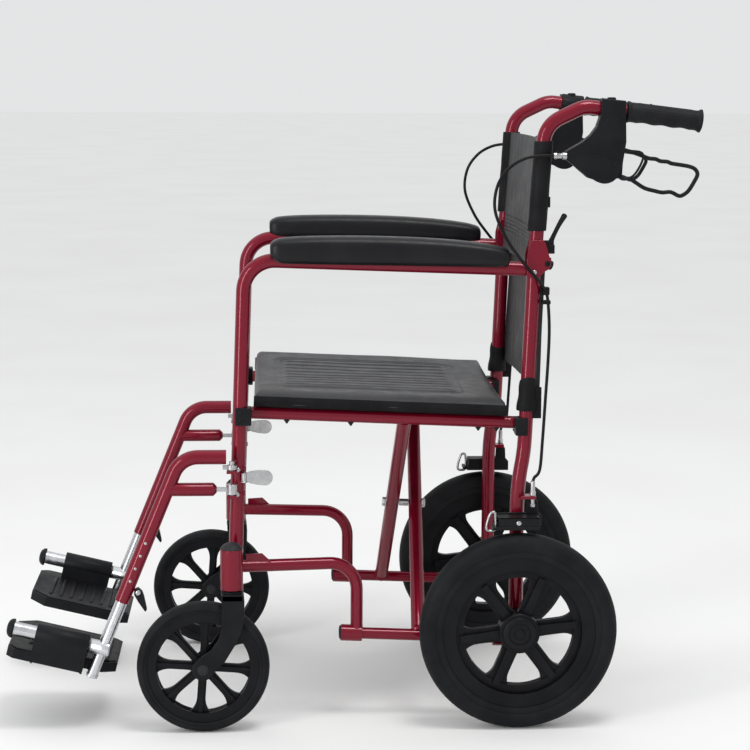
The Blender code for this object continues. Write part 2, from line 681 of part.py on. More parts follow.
def parking_link(side, s):
    """Small wire loop beside the lever, which holds it pulled."""
    name = "parking_link_" + side
    x = s * (LEVER_X + 0.0062)
    outline = [(0.1400, 0.8760), (0.1480, 0.8820), (0.1764, 0.8797), (0.1811, 0.8737), (0.1681, 0.8460),
               (0.1500, 0.8400), (0.1400, 0.8480)]
    return tube(name, [place(x, *point) for point in outline], 0.0016, PLASTIC, sides=6, closed=True)


def back_release(side, s):
    """Lever behind the cane's foot, which unlocks the back."""
    name = "back_release_" + side
    x = s * SIDE_X
    body = block(name, place(x - 0.0080, 0.0375, 0.7220), place(x + 0.0080, 0.0515, 0.7440), PLASTIC)
    stick = rod(name + "_stick", place(x, 0.0455, 0.7380), place(x, 0.0665, 0.7840), 0.0045, sides=8,
                tip=0.0035, cutter=True)
    return unite(body, stick)


def folding_back(side, s):
    lever_axis = pivot("brake_lever_axis_" + side, place(s * LEVER_X, *LEVER_PIN), brake_lever(side, s))
    link_axis = pivot("parking_link_axis_" + side, place(s * LEVER_X, *LEVER_PIN), parking_link(side, s))
    release_axis = pivot("back_release_axis_" + side, place(s * SIDE_X, *RELEASE_PIN),
                         back_release(side, s))
    pieces = [back_cane(side, s), grip(side, s), brake_housing(side, s), lever_axis, link_axis,
              release_axis]
    return pivot("back_axis_" + side, place(s * SIDE_X, *BACK_PIN), *pieces)


# ---------------------------------------------------------------- brakes at the wheels
def brake_bracket(side, s):
    """Plate on the rear post that carries the brake arm, with the cable's adjuster barrel."""
    name = "brake_bracket_" + side
    plate = block(name, place(s * 0.2246, -0.0360, 0.3090), place(s * 0.2290, 0.0360, 0.3300), PLASTIC)
    strap = block(name + "_strap", place(s * 0.2246, 0.0140, 0.3290), place(s * 0.2290, 0.0300, 0.3500),
                  cutter=True)
    barrel = rod(name + "_barrel", place(s * 0.2290, 0.0220, 0.3420), place(s * 0.2290, 0.0220, 0.3515),
                 0.0042, sides=8, cutter=True)
    upper = rod(name + "_screw", place(s * 0.2290, 0.0220, 0.3450), place(s * 0.2290, 0.0220, 0.3516),
                0.0030, sides=8, cutter=True)
    return unite(plate, strap, barrel, upper)


def brake_arm(side, s):
    """Pressed channel over the tyre, with the shoe that it pushes down."""
    name = "brake_arm_" + side
    web = block(name, place(s * 0.2300, -0.0340, 0.3120), place(s * 0.2335, 0.0340, 0.3290), PLASTIC)
    shoe = block(name + "_shoe", place(s * 0.2310, -0.0440, 0.3100), place(s * 0.2620, 0.0300, 0.3150),
                 cutter=True)
    top = block(name + "_top", place(s * 0.2310, -0.0330, 0.3260), place(s * 0.2600, 0.0300, 0.3290),
                cutter=True)
    toe = block(name + "_toe", place(s * 0.2420, -0.0440, 0.3140), place(s * 0.2520, -0.0330, 0.3300),
                cutter=True)
    made = unite(web, shoe, top, toe)
    pivot("brake_arm_axis_" + side, place(s * 0.2320, -0.0300, 0.3210), made)
    return made


CABLE_R = 0.0025
CABLE_UPPER = [(0.2310, 0.0452, 0.8740), (0.2325, 0.0270, 0.8742), (0.2360, 0.0020, 0.8700),
               (0.2400, -0.0215, 0.8560), (0.2430, -0.0390, 0.8300), (0.2440, -0.0425, 0.7934),
               (0.2440, -0.0260, 0.7530), (0.2405, -0.0050, 0.7230), (0.2365, 0.0100, 0.7050),
               (0.2335, 0.0215, 0.6920), (0.2280, 0.0325, 0.6790), (0.2190, 0.0400, 0.6660)]
CABLE_LOWER = [(0.2190, 0.0403, 0.6615), (0.2200, 0.0425, 0.6500), (0.2250, 0.0440, 0.6126),
               (0.2290, 0.0425, 0.5670),
               (0.2310, 0.0390, 0.5058), (0.2320, 0.0355, 0.4443), (0.2315, 0.0320, 0.3980),
               (0.2295, 0.0240, 0.3720), (0.2290, 0.0220, 0.3580)]


def brake_cable(side, s):
    """Cable from the housing's ferrule to the clip on the post, and on down to the adjuster barrel."""
    for name, route in (("cable_upper_", CABLE_UPPER), ("cable_lower_", CABLE_LOWER)):
        points = smooth([place(s * x, behind, z) for x, behind, z in route], 2)
        tube(name + side, points, CABLE_R, PLASTIC, sides=6)


# ---------------------------------------------------------------- X brace
def cross_brace(label, s, along):
    """Foot tube on one side, cross tube, and seat rail on the other side."""
    name = "cross_brace_" + label
    foot = on_slope(s * RAIL_X, along, FOOT_H)
    top = on_slope(-s * RAIL_X, along, RAIL_H)
    rise = (top - foot).normalized()
    made = rod(name, on_slope(s * RAIL_X, -0.2740, FOOT_H), on_slope(s * RAIL_X, -0.0110, FOOT_H), 0.0090,
               PAINT)
    cross = rod(name + "_cross", foot + rise * 0.004, top - rise * 0.004, TUBE_R, cutter=True)
    rail = rod(name + "_rail", on_slope(-s * RAIL_X, -0.4265, RAIL_H),
               on_slope(-s * RAIL_X, -0.0265, RAIL_H), THIN_TUBE_R, cutter=True)
    return unite(made, cross, rail)


def x_brace():
    brace_a = cross_brace("a", 1.0, BRACE_A_U)
    brace_b = cross_brace("b", -1.0, BRACE_B_U)
    middle_h = (FOOT_H + RAIL_H) / 2
    ends = [on_slope(0, BRACE_A_U - TUBE_R - GAP, middle_h), on_slope(0, BRACE_B_U + TUBE_R + GAP,
                                                                      middle_h)]
    bolt = rod("centre_bolt", *ends, 0.0060, BARE)
    centre = on_slope(0, (BRACE_A_U + BRACE_B_U) / 2, middle_h)
    b_axis = pivot("brace_centre_axis", centre, brace_b)
    pivot("fold_axis", on_slope(RAIL_X, BRACE_A_U, FOOT_H), brace_a, bolt, b_axis)


# ---------------------------------------------------------------- upholstery
def seat_sling():
    work = bmesh.new()
    bmesh.ops.create_cube(work, size=1.0)
    length = SEAT_REAR - SEAT_FRONT
    bottom, top = RAIL_H + THIN_TUBE_R + 0.001, RAIL_H + 0.0400
    middle = place(0, (SEAT_FRONT + SEAT_REAR) / 2, 0)
    middle.z = on_slope(0, (SEAT_FRONT + SEAT_REAR) / 2 - bottom * math.sin(SLOPE), (bottom + top) / 2).z
    size = Matrix.Diagonal((2 * 0.2130, length, top - bottom, 1))
    tilt = Matrix.Rotation(-SLOPE, 4, "X")
    bmesh.ops.transform(work, matrix=Matrix.Translation(middle) @ tilt @ size, verts=work.verts)
    return from_bmesh("seat_sling", work, VINYL, False)


def back_upholstery(name, low, high, panel, sleeves):
    """A thin panel with a sleeve around each post: low and high are (behind, z) on the post's axis."""
    panel_low, panel_high = panel
    outline = [(low[0] - 0.006, panel_low), (low[0] + 0.006, panel_low), (high[0] + 0.006, panel_high),
               (high[0] - 0.006, panel_high)]
    made = sheet(name, outline, -0.2010, 0.2010, VINYL)
    tools = []
    for side, s in SIDES.items():
        lean = (high[0] - low[0]) / (high[1] - low[1])
        ends = [place(s * SIDE_X, low[0] + (z - low[1]) * lean, z) for z in sleeves]
        past = (ends[1] - ends[0]).normalized() * 0.03
        unite(made, rod(f"{name}_sleeve_{side}", *ends, 0.0145, sides=16, cutter=True))
        tools.append(rod(f"{name}_bore_{side}", ends[0] - past, ends[1] + past, TUBE_R + 0.0008, sides=16,
                         cutter=True))
    return cut(made, *tools)


def upholstery():
    seat_sling()
    back_upholstery("back_upper", CANE_FOOT, CANE_BEND, (0.7100, 0.8950), (0.7610, 0.8900))
    back_upholstery("back_lower", POST_KNEE, POST_TOP, (0.4850, 0.7000), (0.4745, 0.5120))


def main():
    for side, s in SIDES.items():
        side_frame(side, s)
        rear_wheel(side, s)
        caster(side, s)
        footrest(side, s)
        folding_back(side, s)
        brake_bracket(side, s)
        brake_arm(side, s)
        brake_cable(side, s)
    x_brace()
    upholstery()
    for made in PARTS.objects:
        if made.type == "MESH":
            made.data.shade_smooth()
            made.data.set_sharp_from_angle(angle=math.radians(40))


main()
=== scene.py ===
"""Looks of the folding transport wheelchair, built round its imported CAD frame.

Everything is in the frame's metres, with +X the chair's left and -Y its front. Lengths along the
chair are given as the distance behind the rear axle. The two sides are mirror images, made with a
sign s that is 1 on the left.
"""

import math

import bmesh
import bpy
from mathutils import Matrix, Vector, noise


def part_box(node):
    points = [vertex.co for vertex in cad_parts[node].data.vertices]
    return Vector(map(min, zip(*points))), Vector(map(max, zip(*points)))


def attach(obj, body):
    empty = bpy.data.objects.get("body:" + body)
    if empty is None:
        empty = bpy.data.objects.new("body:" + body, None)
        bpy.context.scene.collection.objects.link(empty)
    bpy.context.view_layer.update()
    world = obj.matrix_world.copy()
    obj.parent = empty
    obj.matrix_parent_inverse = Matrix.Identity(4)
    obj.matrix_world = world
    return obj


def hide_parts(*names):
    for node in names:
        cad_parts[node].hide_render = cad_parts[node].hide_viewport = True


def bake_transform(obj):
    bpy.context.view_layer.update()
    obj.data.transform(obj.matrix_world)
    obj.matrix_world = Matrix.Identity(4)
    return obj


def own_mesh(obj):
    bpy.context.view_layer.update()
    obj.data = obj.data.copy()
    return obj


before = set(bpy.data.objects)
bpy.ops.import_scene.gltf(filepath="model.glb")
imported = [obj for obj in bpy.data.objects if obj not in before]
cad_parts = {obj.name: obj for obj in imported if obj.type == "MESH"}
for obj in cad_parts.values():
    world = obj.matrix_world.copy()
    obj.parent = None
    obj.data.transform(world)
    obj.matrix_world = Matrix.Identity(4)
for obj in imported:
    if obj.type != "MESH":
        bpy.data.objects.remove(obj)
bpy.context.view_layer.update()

SIDES = {"left": 1.0, "right": -1.0}


def middle(node):
    low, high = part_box(node)
    return (low + high) / 2


# ---- driving dimensions
REAR_AXLE = middle("rear_tyre_left")
CASTER_AXLE = middle("caster_tyre_left")
AXLE_Y = REAR_AXLE.y
SIDE_X = middle("back_cane_left").x  # the plane of each side frame
HANGER_X = middle("hanger_left").x
LEVER_X = middle("brake_lever_left").x
STEM_BEHIND = -0.437  # the axis that a caster swivels about
TUBE_R = 0.011
THIN_R = 0.0095  # seat rails and lower side tubes
RAIL_X = 0.192  # the seat rails and the braces' foot tubes
SLOPE = math.radians(2.4)  # how far those tubes fall towards the back
FOOT_H, RAIL_H = 0.1239, 0.4641  # their heights, square to the slope
BRACE_A_U, BRACE_B_U = -0.1542, -0.1917  # each brace's cross tube, along the slope
HANGER_FOOT, HANGER_TILT = (-0.604, 0.199), 0.408
AXLE_TILT = math.radians(13.6)  # the footplates' axles
BACK_PIN = (0.0397, 0.712)  # the pivot of the folding back, as (behind, z)
POST_KNEE, POST_TOP = (0.0107, 0.445), (0.0211, 0.7045)
CANE = [(0.0208, 0.706), (0.0345, 0.919), (0.0931, 0.947), (0.262, 0.9265)]
ROUND = 32
UP = Vector((0, 0, 1))
FORWARD = Vector((0, -1, 0))


# ---- places and paths
def place(x, behind, z):
    """A point given by its distance behind the rear axle."""
    return Vector((x, AXLE_Y + behind, z))


def on_slope(x, along, height):
    """A point given along and square to the seat rails' slope."""
    behind = along * math.cos(SLOPE) + height * math.sin(SLOPE)
    return place(x, behind, height * math.cos(SLOPE) - along * math.sin(SLOPE))


def post_behind(z):
    """The front post's centre line."""
    return -0.4182 - (0.6573 - z) * 0.033


def rear_post_behind(z):
    """The back post's centre line above its knee."""
    share = (z - POST_KNEE[1]) / (POST_TOP[1] - POST_KNEE[1])
    return POST_KNEE[0] + (POST_TOP[0] - POST_KNEE[0]) * share


def cane_behind(z):
    """The cane's centre line below its bend."""
    return CANE[0][0] + (z - CANE[0][1]) * (CANE[1][0] - CANE[0][0]) / (CANE[1][1] - CANE[0][1])


def hanger_behind(z):
    """The hanger's sloping part."""
    return HANGER_FOOT[0] - (HANGER_FOOT[1] - z) * HANGER_TILT


def on_handle(x, behind):
    """A point on the straight of the push handle."""
    share = (behind - CANE[2][0]) / (CANE[3][0] - CANE[2][0])
    return place(x, behind, CANE[2][1] + share * (CANE[3][1] - CANE[2][1]))


def rounded(corners, radius, steps=12):
    """The corner points of a path with each inner corner replaced by an arc."""
    points = [corners[0]]
    for before, corner, after in zip(corners, corners[1:], corners[2:]):
        into = (corner - before).normalized()
        out = (after - corner).normalized()
        turn = into.angle(out)
        centre = corner + (out - into).normalized() * radius / math.cos(turn / 2)
        start = corner - into * radius * math.tan(turn / 2) - centre
        side = into.cross(out).normalized()
        for i in range(steps + 1):
            points.append(centre + Matrix.Rotation(turn * i / steps, 3, side) @ start)
    points.append(corners[-1])
    return points


def flowing(points, count, closed=False):
    """A Catmull-Rom curve through the points, cut into count pieces between each pair."""
    if closed:
        ends = [points[-1]] + points + points[:2]
    else:
        ends = [points[0]] + points + [points[-1]]
    out = []
    for a, b, c, d in zip(ends, ends[1:], ends[2:], ends[3:]):
        for i in range(count):
            t = i / count
            square = (2 * a - 5 * b + 4 * c - d) * t * t
            cube = (3 * b - a - 3 * c + d) * t**3
            out.append(0.5 * (2 * b + (c - a) * t + square + cube))
    return out if closed else out + [points[-1]]


def ease(t):
    t = min(max(t, 0.0), 1.0)
    return t * t * (3 - 2 * t)


def round_angles(count):
    return [2 * math.pi * k / count for k in range(count)]


def in_plane(x, outline):
    return [place(x, behind, z) for behind, z in outline]


def mirrored(side):
    """The other half of a closed outline that is the same on both sides of its middle line."""
    return [(a, -b) for a, b in reversed(side)]


# ---- solids, each added to a bmesh
def skin(work, rings, closed=False):
    """Faces between rings of points, with the ends filled unless the rings close on themselves."""
    rows = [[work.verts.new(point) for point in ring] for ring in rings]
    pairs = list(zip(rows, rows[1:]))
    if closed:
        pairs.append((rows[-1], rows[0]))
    for a, b in pairs:
        for i in range(len(a)):
            j = (i + 1) % len(a)
            work.faces.new((a[i], a[j], b[j], b[i]))
    if not closed:
        work.faces.new(rows[0][::-1])
        work.faces.new(rows[-1])


def circle(centre, normal, other, radius, sides):
    return [centre + (normal * math.cos(a) + other * math.sin(a)) * radius for a in round_angles(sides)]


def sweep(work, points, radius, sides=ROUND, closed=False):
    """A round bar along a path; radius is one number, or one for each point."""
    count = len(points)
    radii = radius if isinstance(radius, list) else [radius] * count
    normal = None
    rings = []
    for i, point in enumerate(points):
        after = points[(i + 1) % count] if closed else points[min(i + 1, count - 1)]
        before = points[i - 1] if closed else points[max(i - 1, 0)]
        along = (after - before).normalized()
        if normal is None:
            normal = along.orthogonal().normalized()
        normal = (normal - along * normal.dot(along)).normalized()
        rings.append(circle(point, normal, along.cross(normal), radii[i], sides))
    skin(work, rings, closed)


def rod(work, start, end, radius, sides=ROUND):
    sweep(work, [start, end], radius, sides)


def lathe(work, centre, axis, profile, sides=ROUND):
    """A solid turned about an axis: the profile gives places along the axis and radii."""
    normal = axis.orthogonal().normalized()
    other = axis.cross(normal)
    skin(work, [circle(centre + axis * along, normal, other, radius, sides) for along, radius in profile])


def hoop(work, profile, centre, steps=96):
    """A ring about X: a closed profile of (radius, x)."""
    rings = [[centre + Vector((x, r * math.cos(a), r * math.sin(a))) for r, x in profile]
             for a in round_angles(steps)]
    skin(work, rings, closed=True)


def drum(work, centre, axis, ends, radius, edge, sides=ROUND):
    """A cylinder between two places along the axis; edge is its chamfer's length and depth."""
    (low, high), (length, depth) = ends, edge
    lathe(work, centre, axis, [(low, radius - depth), (low + length, radius), (high - length, radius),
                               (high, radius - depth)], sides)


def wire_loop(work, x, outline, count, radius, sides):
    """A closed loop of wire, smooth through an outline in (behind, z)."""
    sweep(work, flowing(in_plane(x, outline), count, closed=True), radius, sides, closed=True)


def slab(work, outline, to_low, to_high):
    """A flat outline between two planes: each function turns an outline point into a place."""
    skin(work, [[to_low(*point) for point in outline], [to_high(*point) for point in outline]])


def side_slab(work, outline, x_low, x_high):
    """An outline in (behind, z), between two X planes."""
    skin(work, [in_plane(x_low, outline), in_plane(x_high, outline)])


def framed_slab(work, outline, low, high, turn):
    """An outline in the XY plane of a frame of its own, between two heights in it."""
    slab(work, outline, lambda x, y: turn @ Vector((x, y, low)), lambda x, y: turn @ Vector((x, y, high)))


def brick(work, low, high, turn=Matrix.Identity(4)):
    """A box between two corners, or in a frame of its own."""
    outline = [(low[0], low[1]), (high[0], low[1]), (high[0], high[1]), (low[0], high[1])]
    framed_slab(work, outline, low[2], high[2], turn)


def arc(centre, radius, first, last, steps):
    """Points on an arc in (behind, z), in degrees."""
    angles = [math.radians(first + (last - first) * i / steps) for i in range(steps + 1)]
    return [(centre[0] + radius * math.cos(a), centre[1] + radius * math.sin(a)) for a in angles]


# ---- pieces
def add_object(name, data):
    made = bpy.data.objects.new(name, data)
    bpy.context.scene.collection.objects.link(made)
    return made


def mesh_object(name, work, material):
    bmesh.ops.recalc_face_normals(work, faces=work.faces)
    mesh = bpy.data.meshes.new(name)
    work.to_mesh(mesh)
    work.free()
    mesh.materials.append(material)
    return add_object(name, mesh)


def piece(name, work, finish, body, stands_for=(), bevel=0.0, smooth=38):
    """The solids in one object, with its material, rounded edges, body and the CAD nodes it replaces."""
    material, slot = FINISHES[finish]
    made = mesh_object(name, work, material)
    made.data.shade_smooth()
    if bevel:
        edge = made.modifiers.new("rounded edges", "BEVEL")
        edge.width = bevel
        edge.segments = 3
        edge.limit_method = "ANGLE"
        edge.angle_limit = math.radians(40)
        edge.harden_normals = True
    else:
        made.data.set_sharp_from_angle(angle=math.radians(smooth))
    if body:
        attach(made, body)
    if stands_for:
        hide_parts(*stands_for)
    return made


def side_piece(side, name, work, finish, body, stands_for="", **edges):
    """A piece of one side of the chair: each of its names ends in the side."""
    nodes = [f"{stands_for}_{side}"] if stands_for else []
    return piece(f"{name}_{side}", work, finish, f"{body}_{side}", nodes, **edges)


# ---- materials
def shader(name, colour, roughness, metallic=0.0, **extra):
    made = bpy.data.materials.new(name)
    made.use_nodes = True
    node = made.node_tree.nodes["Principled BSDF"]
    node.inputs["Base Color"].default_value = (*colour, 1.0)
    node.inputs["Roughness"].default_value = roughness
    node.inputs["Metallic"].default_value = metallic
    for key, value in extra.items():
        node.inputs[key.replace("_", " ")].default_value = value
    return made, made.node_tree, node


def coordinates(tree, stretch=(1, 1, 1)):
    where = tree.nodes.new("ShaderNodeTexCoord")
    mapping = tree.nodes.new("ShaderNodeMapping")
    mapping.inputs["Scale"].default_value = stretch
    tree.links.new(where.outputs["Object"], mapping.inputs["Vector"])
    return mapping.outputs["Vector"]


def noise_field(tree, vector, scale, detail=4.0):
    field = tree.nodes.new("ShaderNodeTexNoise")
    field.inputs["Scale"].default_value = scale
    field.inputs["Detail"].default_value = detail
    tree.links.new(vector, field.inputs["Vector"])
    return field.outputs["Fac"]


def shade(tree, node, source, dark, light):
    """Base colour between two shades."""
    made = tree.nodes.new("ShaderNodeValToRGB")
    for stop, position, colour in zip(made.color_ramp.elements, (0.35, 0.65), (dark, light)):
        stop.position = position
        stop.color = (*colour, 1.0)
    tree.links.new(source, made.inputs["Fac"])
    tree.links.new(made.outputs["Color"], node.inputs["Base Color"])


def gloss(tree, node, source, low, high):
    """Roughness between two values."""
    made = tree.nodes.new("ShaderNodeMapRange")
    for key, value in zip(("From Min", "From Max", "To Min", "To Max"), (0.3, 0.7, low, high)):
        made.inputs[key].default_value = value
    tree.links.new(source, made.inputs["Value"])
    tree.links.new(made.outputs["Result"], node.inputs["Roughness"])


def bump(tree, node, height, strength, distance, under=None):
    made = tree.nodes.new("ShaderNodeBump")
    made.inputs["Strength"].default_value = strength
    made.inputs["Distance"].default_value = distance
    tree.links.new(height, made.inputs["Height"])
    if under:
        tree.links.new(under, made.inputs["Normal"])
    tree.links.new(made.outputs["Normal"], node.inputs["Normal"])
    return made.outputs["Normal"]


def red_paint():
    """Metallic red under clear lacquer, with fine flake and slight orange peel."""
    made, tree, node = shader("red_paint", (0.16, 0.002, 0.014), 0.32, 0.3, Specular_IOR_Level=0.05,
                              Coat_Weight=0.55, Coat_Roughness=0.06)
    where = coordinates(tree)
    flake = noise_field(tree, where, 1400.0, 2.0)
    shade(tree, node, flake, (0.14, 0.0012, 0.0115), (0.195, 0.0022, 0.0175))
    gloss(tree, node, noise_field(tree, where, 35.0), 0.3, 0.4)
    bump(tree, node, noise_field(tree, where, 260.0, 1.0), 0.06, 0.0003)
    return made


def moulded(name, dark, light, roughness, grain, depth=0.0003):
    """Moulded plastic or rubber: a little uneven in shade and gloss, with a fine spark-eroded grain."""
    made, tree, node = shader(name, dark, roughness, Specular_IOR_Level=0.14)
    where = coordinates(tree)
    shade(tree, node, noise_field(tree, where, 24.0), dark, light)
    gloss(tree, node, noise_field(tree, where, 60.0), roughness - 0.07, roughness + 0.07)
    bump(tree, node, noise_field(tree, where, grain, 3.0), 0.35, depth)
    return made


def skin_foam():
    """Self-skinned foam of the arm pads: pebbled like leather."""
    made, tree, node = shader("pad_foam", (0.005, 0.005, 0.006), 0.36, Specular_IOR_Level=0.22)
    where = coordinates(tree)
    cells = tree.nodes.new("ShaderNodeTexVoronoi")
    cells.feature = "DISTANCE_TO_EDGE"
    cells.inputs["Scale"].default_value = 900.0
    tree.links.new(where, cells.inputs["Vector"])
    shade(tree, node, noise_field(tree, where, 18.0), (0.0035, 0.0035, 0.0045), (0.0065, 0.0065, 0.008))
    gloss(tree, node, noise_field(tree, where, 70.0), 0.3, 0.42)
    bump(tree, node, cells.outputs["Distance"], 0.3, 0.0004)
    return made


def metal(name, colour, roughness, stretch):
    """Bright metal with faint drawn lines along one axis."""
    made, tree, node = shader(name, colour, roughness, 1.0)
    where = coordinates(tree, stretch)
    gloss(tree, node, noise_field(tree, where, 120.0), roughness - 0.06, roughness + 0.1)
    shade(tree, node, noise_field(tree, where, 70.0), tuple(c * 0.82 for c in colour), colour)
    bump(tree, node, noise_field(tree, where, 300.0, 2.0), 0.08, 0.0002)
    return made


def coated_cloth(name, dark, light, roughness, along):
    """Vinyl-coated woven cloth: two crossed sets of threads under a soft shine, creased a little."""
    made, tree, node = shader(name, dark, roughness, Sheen_Weight=0.06, Sheen_Roughness=0.4,
                              Specular_IOR_Level=0.35)
    where = coordinates(tree)
    weave = tree.nodes.new("ShaderNodeMath")
    weave.operation = "MULTIPLY"
    for i, direction in enumerate(("X", along)):
        wave = tree.nodes.new("ShaderNodeTexWave")
        wave.bands_direction = direction
        wave.inputs["Scale"].default_value = 330.0
        wave.inputs["Distortion"].default_value = 0.4
        tree.links.new(where, wave.inputs["Vector"])
        tree.links.new(wave.outputs["Fac"], weave.inputs[i])
    shade(tree, node, noise_field(tree, where, 14.0), dark, light)
    gloss(tree, node, noise_field(tree, where, 40.0), roughness - 0.06, roughness + 0.08)
    creases = bump(tree, node, noise_field(tree, where, 45.0, 5.0), 0.25, 0.0012)
    bump(tree, node, weave.outputs[0], 0.3, 0.0003, creases)
    return made


# finish: its material and the library slot that it fills
FINISHES = {
    "paint": (red_paint(), "red_paint"),
    "plastic": (moulded("black_plastic", (0.005, 0.0052, 0.0064), (0.009, 0.0094, 0.011), 0.44, 900.0),
                "black_plastic"),
    "wheel": (moulded("wheel_plastic", (0.0036, 0.0038, 0.0048), (0.0066, 0.007, 0.0084), 0.4, 700.0),
              "black_plastic"),
    "tyre": (moulded("tyre_rubber", (0.006, 0.0063, 0.0074), (0.0105, 0.011, 0.0125), 0.66, 420.0, 0.0006),
             "tyre_rubber"),
    "grip": (moulded("grip_rubber", (0.008, 0.0082, 0.0094), (0.014, 0.0142, 0.016), 0.55, 650.0, 0.0004),
             "black_foam"),
    "cable": (moulded("cable_sheath", (0.005, 0.005, 0.006), (0.009, 0.009, 0.01), 0.35, 500.0, 0.0002),
              "black_plastic"),
    "cap": (moulded("grey_cap", (0.02, 0.02, 0.023), (0.03, 0.03, 0.034), 0.55, 700.0), "black_plastic"),
    "foam": (skin_foam(), "black_foam"),
    "steel": (metal("bright_steel", (0.5, 0.5, 0.51), 0.26, (1, 1, 1)), "bare_steel"),
    "drawn": (metal("drawn_steel", (0.62, 0.63, 0.65), 0.27, (1, 1, 0.08)), "bare_steel"),
    # The seat's vinyl is the same as the back's; its lighter base colour is painted reflection of the shine
    # that its top catches at a grazing angle.
    "seat_cloth_painted_shine": (coated_cloth("seat_cloth_painted_shine", (0.019, 0.0196, 0.022), (0.03, 0.0308, 0.034), 0.46, "Y"),
                   "black_vinyl"),
    "back_cloth": (coated_cloth("back_cloth", (0.0085, 0.009, 0.0108), (0.015, 0.0156, 0.018), 0.58, "Z"),
                   "black_vinyl"),
    # Dark cloth: the real black wrap at the posts' feet, and painted shade on the seat's binding and on the
    # back's sleeves, which are darker than the cloth they belong to.
    "edging_and_shade": (moulded("black_edging_and_shade", (0.0045, 0.0045, 0.0055), (0.008, 0.008, 0.0092), 0.62, 1500.0),
               "black_vinyl"),
}


# ---- small fastenings
def bolt_head(work, centre, axis, radius, height):
    """A domed head standing on a surface."""
    profile = [(-0.0006, radius), (height * 0.45, radius), (height * 0.85, radius * 0.75),
               (height, radius * 0.35)]
    lathe(work, centre, axis, profile, 20)


def hex_head(work, centre, axis, radius, height):
    lathe(work, centre, axis, [(-0.0006, radius), (height * 0.8, radius), (height, radius * 0.86)], 6)


# ---- side frame
def front_tube(side, s):
    """Arm tube and front post in one bent tube, with the caster's barrel and the hanger's hinge."""
    x = s * SIDE_X
    top_z = 0.7173
    corners = in_plane(x, [(0.008, 0.7032), (post_behind(top_z), top_z), (post_behind(0.232), 0.232)])
    work = bmesh.new()
    sweep(work, rounded(corners, 0.047), TUBE_R)
    stem = s * CASTER_AXLE.x
    drum(work, place(stem, STEM_BEHIND, 0), UP, (0.22, 0.283), 0.0173, (0.0006, 0.0013))
    brick(work, place(s * SIDE_X, -0.44, 0.234), place(stem, -0.428, 0.275))
    side_piece(side, "front_tube", work, "paint", "frame", "front_frame_tube", bevel=0.0008)

    work = bmesh.new()
    lathe(work, place(stem, STEM_BEHIND, 0), UP,
          [(0.2812, 0.0165), (0.2845, 0.0168), (0.2895, 0.0125), (0.2918, 0.008), (0.2925, 0.003)])
    side_piece(side, "barrel_cap", work, "cap", "frame")

    lugs, pins = bmesh.new(), bmesh.new()
    for z in (0.3585, 0.3965):
        behind = post_behind(z)
        brick(lugs, place(x, -0.444, z), place(s * (HANGER_X + 0.009), -0.4285, z + 0.004))
        drum(lugs, place(x, behind, z - 0.0015), UP, (0.0, 0.007), 0.0124, (0.001, 0.0006))
        bolt_head(pins, place(x + s * 0.012, behind, z + 0.002), Vector((s, 0, 0)), 0.0036, 0.0025)
        rod(pins, place(s * HANGER_X, -0.436, z + 0.0015), place(s * HANGER_X, -0.436, z + 0.018), 0.004)
    side_piece(side, "hinge_lugs", lugs, "paint", "frame", bevel=0.0005)
    side_piece(side, "hinge_pins", pins, "steel", "frame", bevel=0.0005)


def lower_tube(side, s):
    """Lower side tube with its gusset, and the front sleeve of the brace's foot tube."""
    top_z, down = 0.2465, -0.245
    start = place(s * SIDE_X, post_behind(top_z) + 0.008, top_z)
    work = bmesh.new()
    sweep(work, rounded([start, place(s * RAIL_X, down, top_z), place(s * RAIL_X, down, 0.137)], 0.042),
          THIN_R)
    rod(work, on_slope(s * RAIL_X, -0.275, FOOT_H), on_slope(s * RAIL_X, -0.242, FOOT_H), 0.0128)
    side_slab(work, [(-0.416, 0.247), (-0.416, 0.265), (-0.391, 0.2665), (-0.38, 0.256), (-0.374, 0.249)],
              s * (SIDE_X - 0.002), s * (SIDE_X + 0.002))
    side_piece(side, "lower_tube", work, "paint", "frame", "lower_side_tube", bevel=0.0007)

    work = bmesh.new()
    plug = on_slope(s * RAIL_X, -0.275, FOOT_H)
    lathe(work, plug, FORWARD, [(-0.002, 0.011), (0.0015, 0.011), (0.0028, 0.008), (0.0032, 0.003)])
    side_piece(side, "sleeve_plug", work, "plastic", "frame")


def rear_post(side, s):
    """Back post with its rear sleeve and cable tab, and the wheel's axle."""
    x = s * SIDE_X
    knots = [(0.0, 0.128), (0.0, 0.26), (0.0, 0.34), (0.003, 0.382), (0.008, 0.415), POST_KNEE,
             (rear_post_behind(0.52), 0.52), POST_TOP]
    work = bmesh.new()
    sweep(work, flowing(in_plane(x, knots), 5), TUBE_R)
    rod(work, on_slope(s * RAIL_X, -0.038, FOOT_H), on_slope(s * RAIL_X, -0.01, FOOT_H), 0.0128)
    brick(work, place(x, 0.0035, 0.352), place(s * 0.234, 0.027, 0.357))
    side_piece(side, "rear_post", work, "paint", "frame", "back_post", bevel=0.0006)

    work = bmesh.new()
    rod(work, place(x, 0, REAR_AXLE.z), place(s * 0.268, 0, REAR_AXLE.z), 0.006)
    rod(work, place(s * 0.2235, 0, REAR_AXLE.z), place(s * 0.2262, 0, REAR_AXLE.z), 0.0095)
    hex_head(work, place(s * 0.2025, 0, REAR_AXLE.z), Vector((-s, 0, 0)), 0.009, 0.006)
    side_piece(side, "rear_axle", work, "steel", "frame")


def section(y, low, high, half):
    """A rounded cross-section in X and Z at a distance behind the axle."""
    power, count = 3.0, 36
    ring = []
    for a in round_angles(count):
        across = math.copysign(abs(math.cos(a)) ** (2 / power), math.cos(a))
        upward = math.copysign(abs(math.sin(a)) ** (2 / power), math.sin(a))
        ring.append((across * half, y, (low + high) / 2 + upward * (high - low) / 2))
    return ring


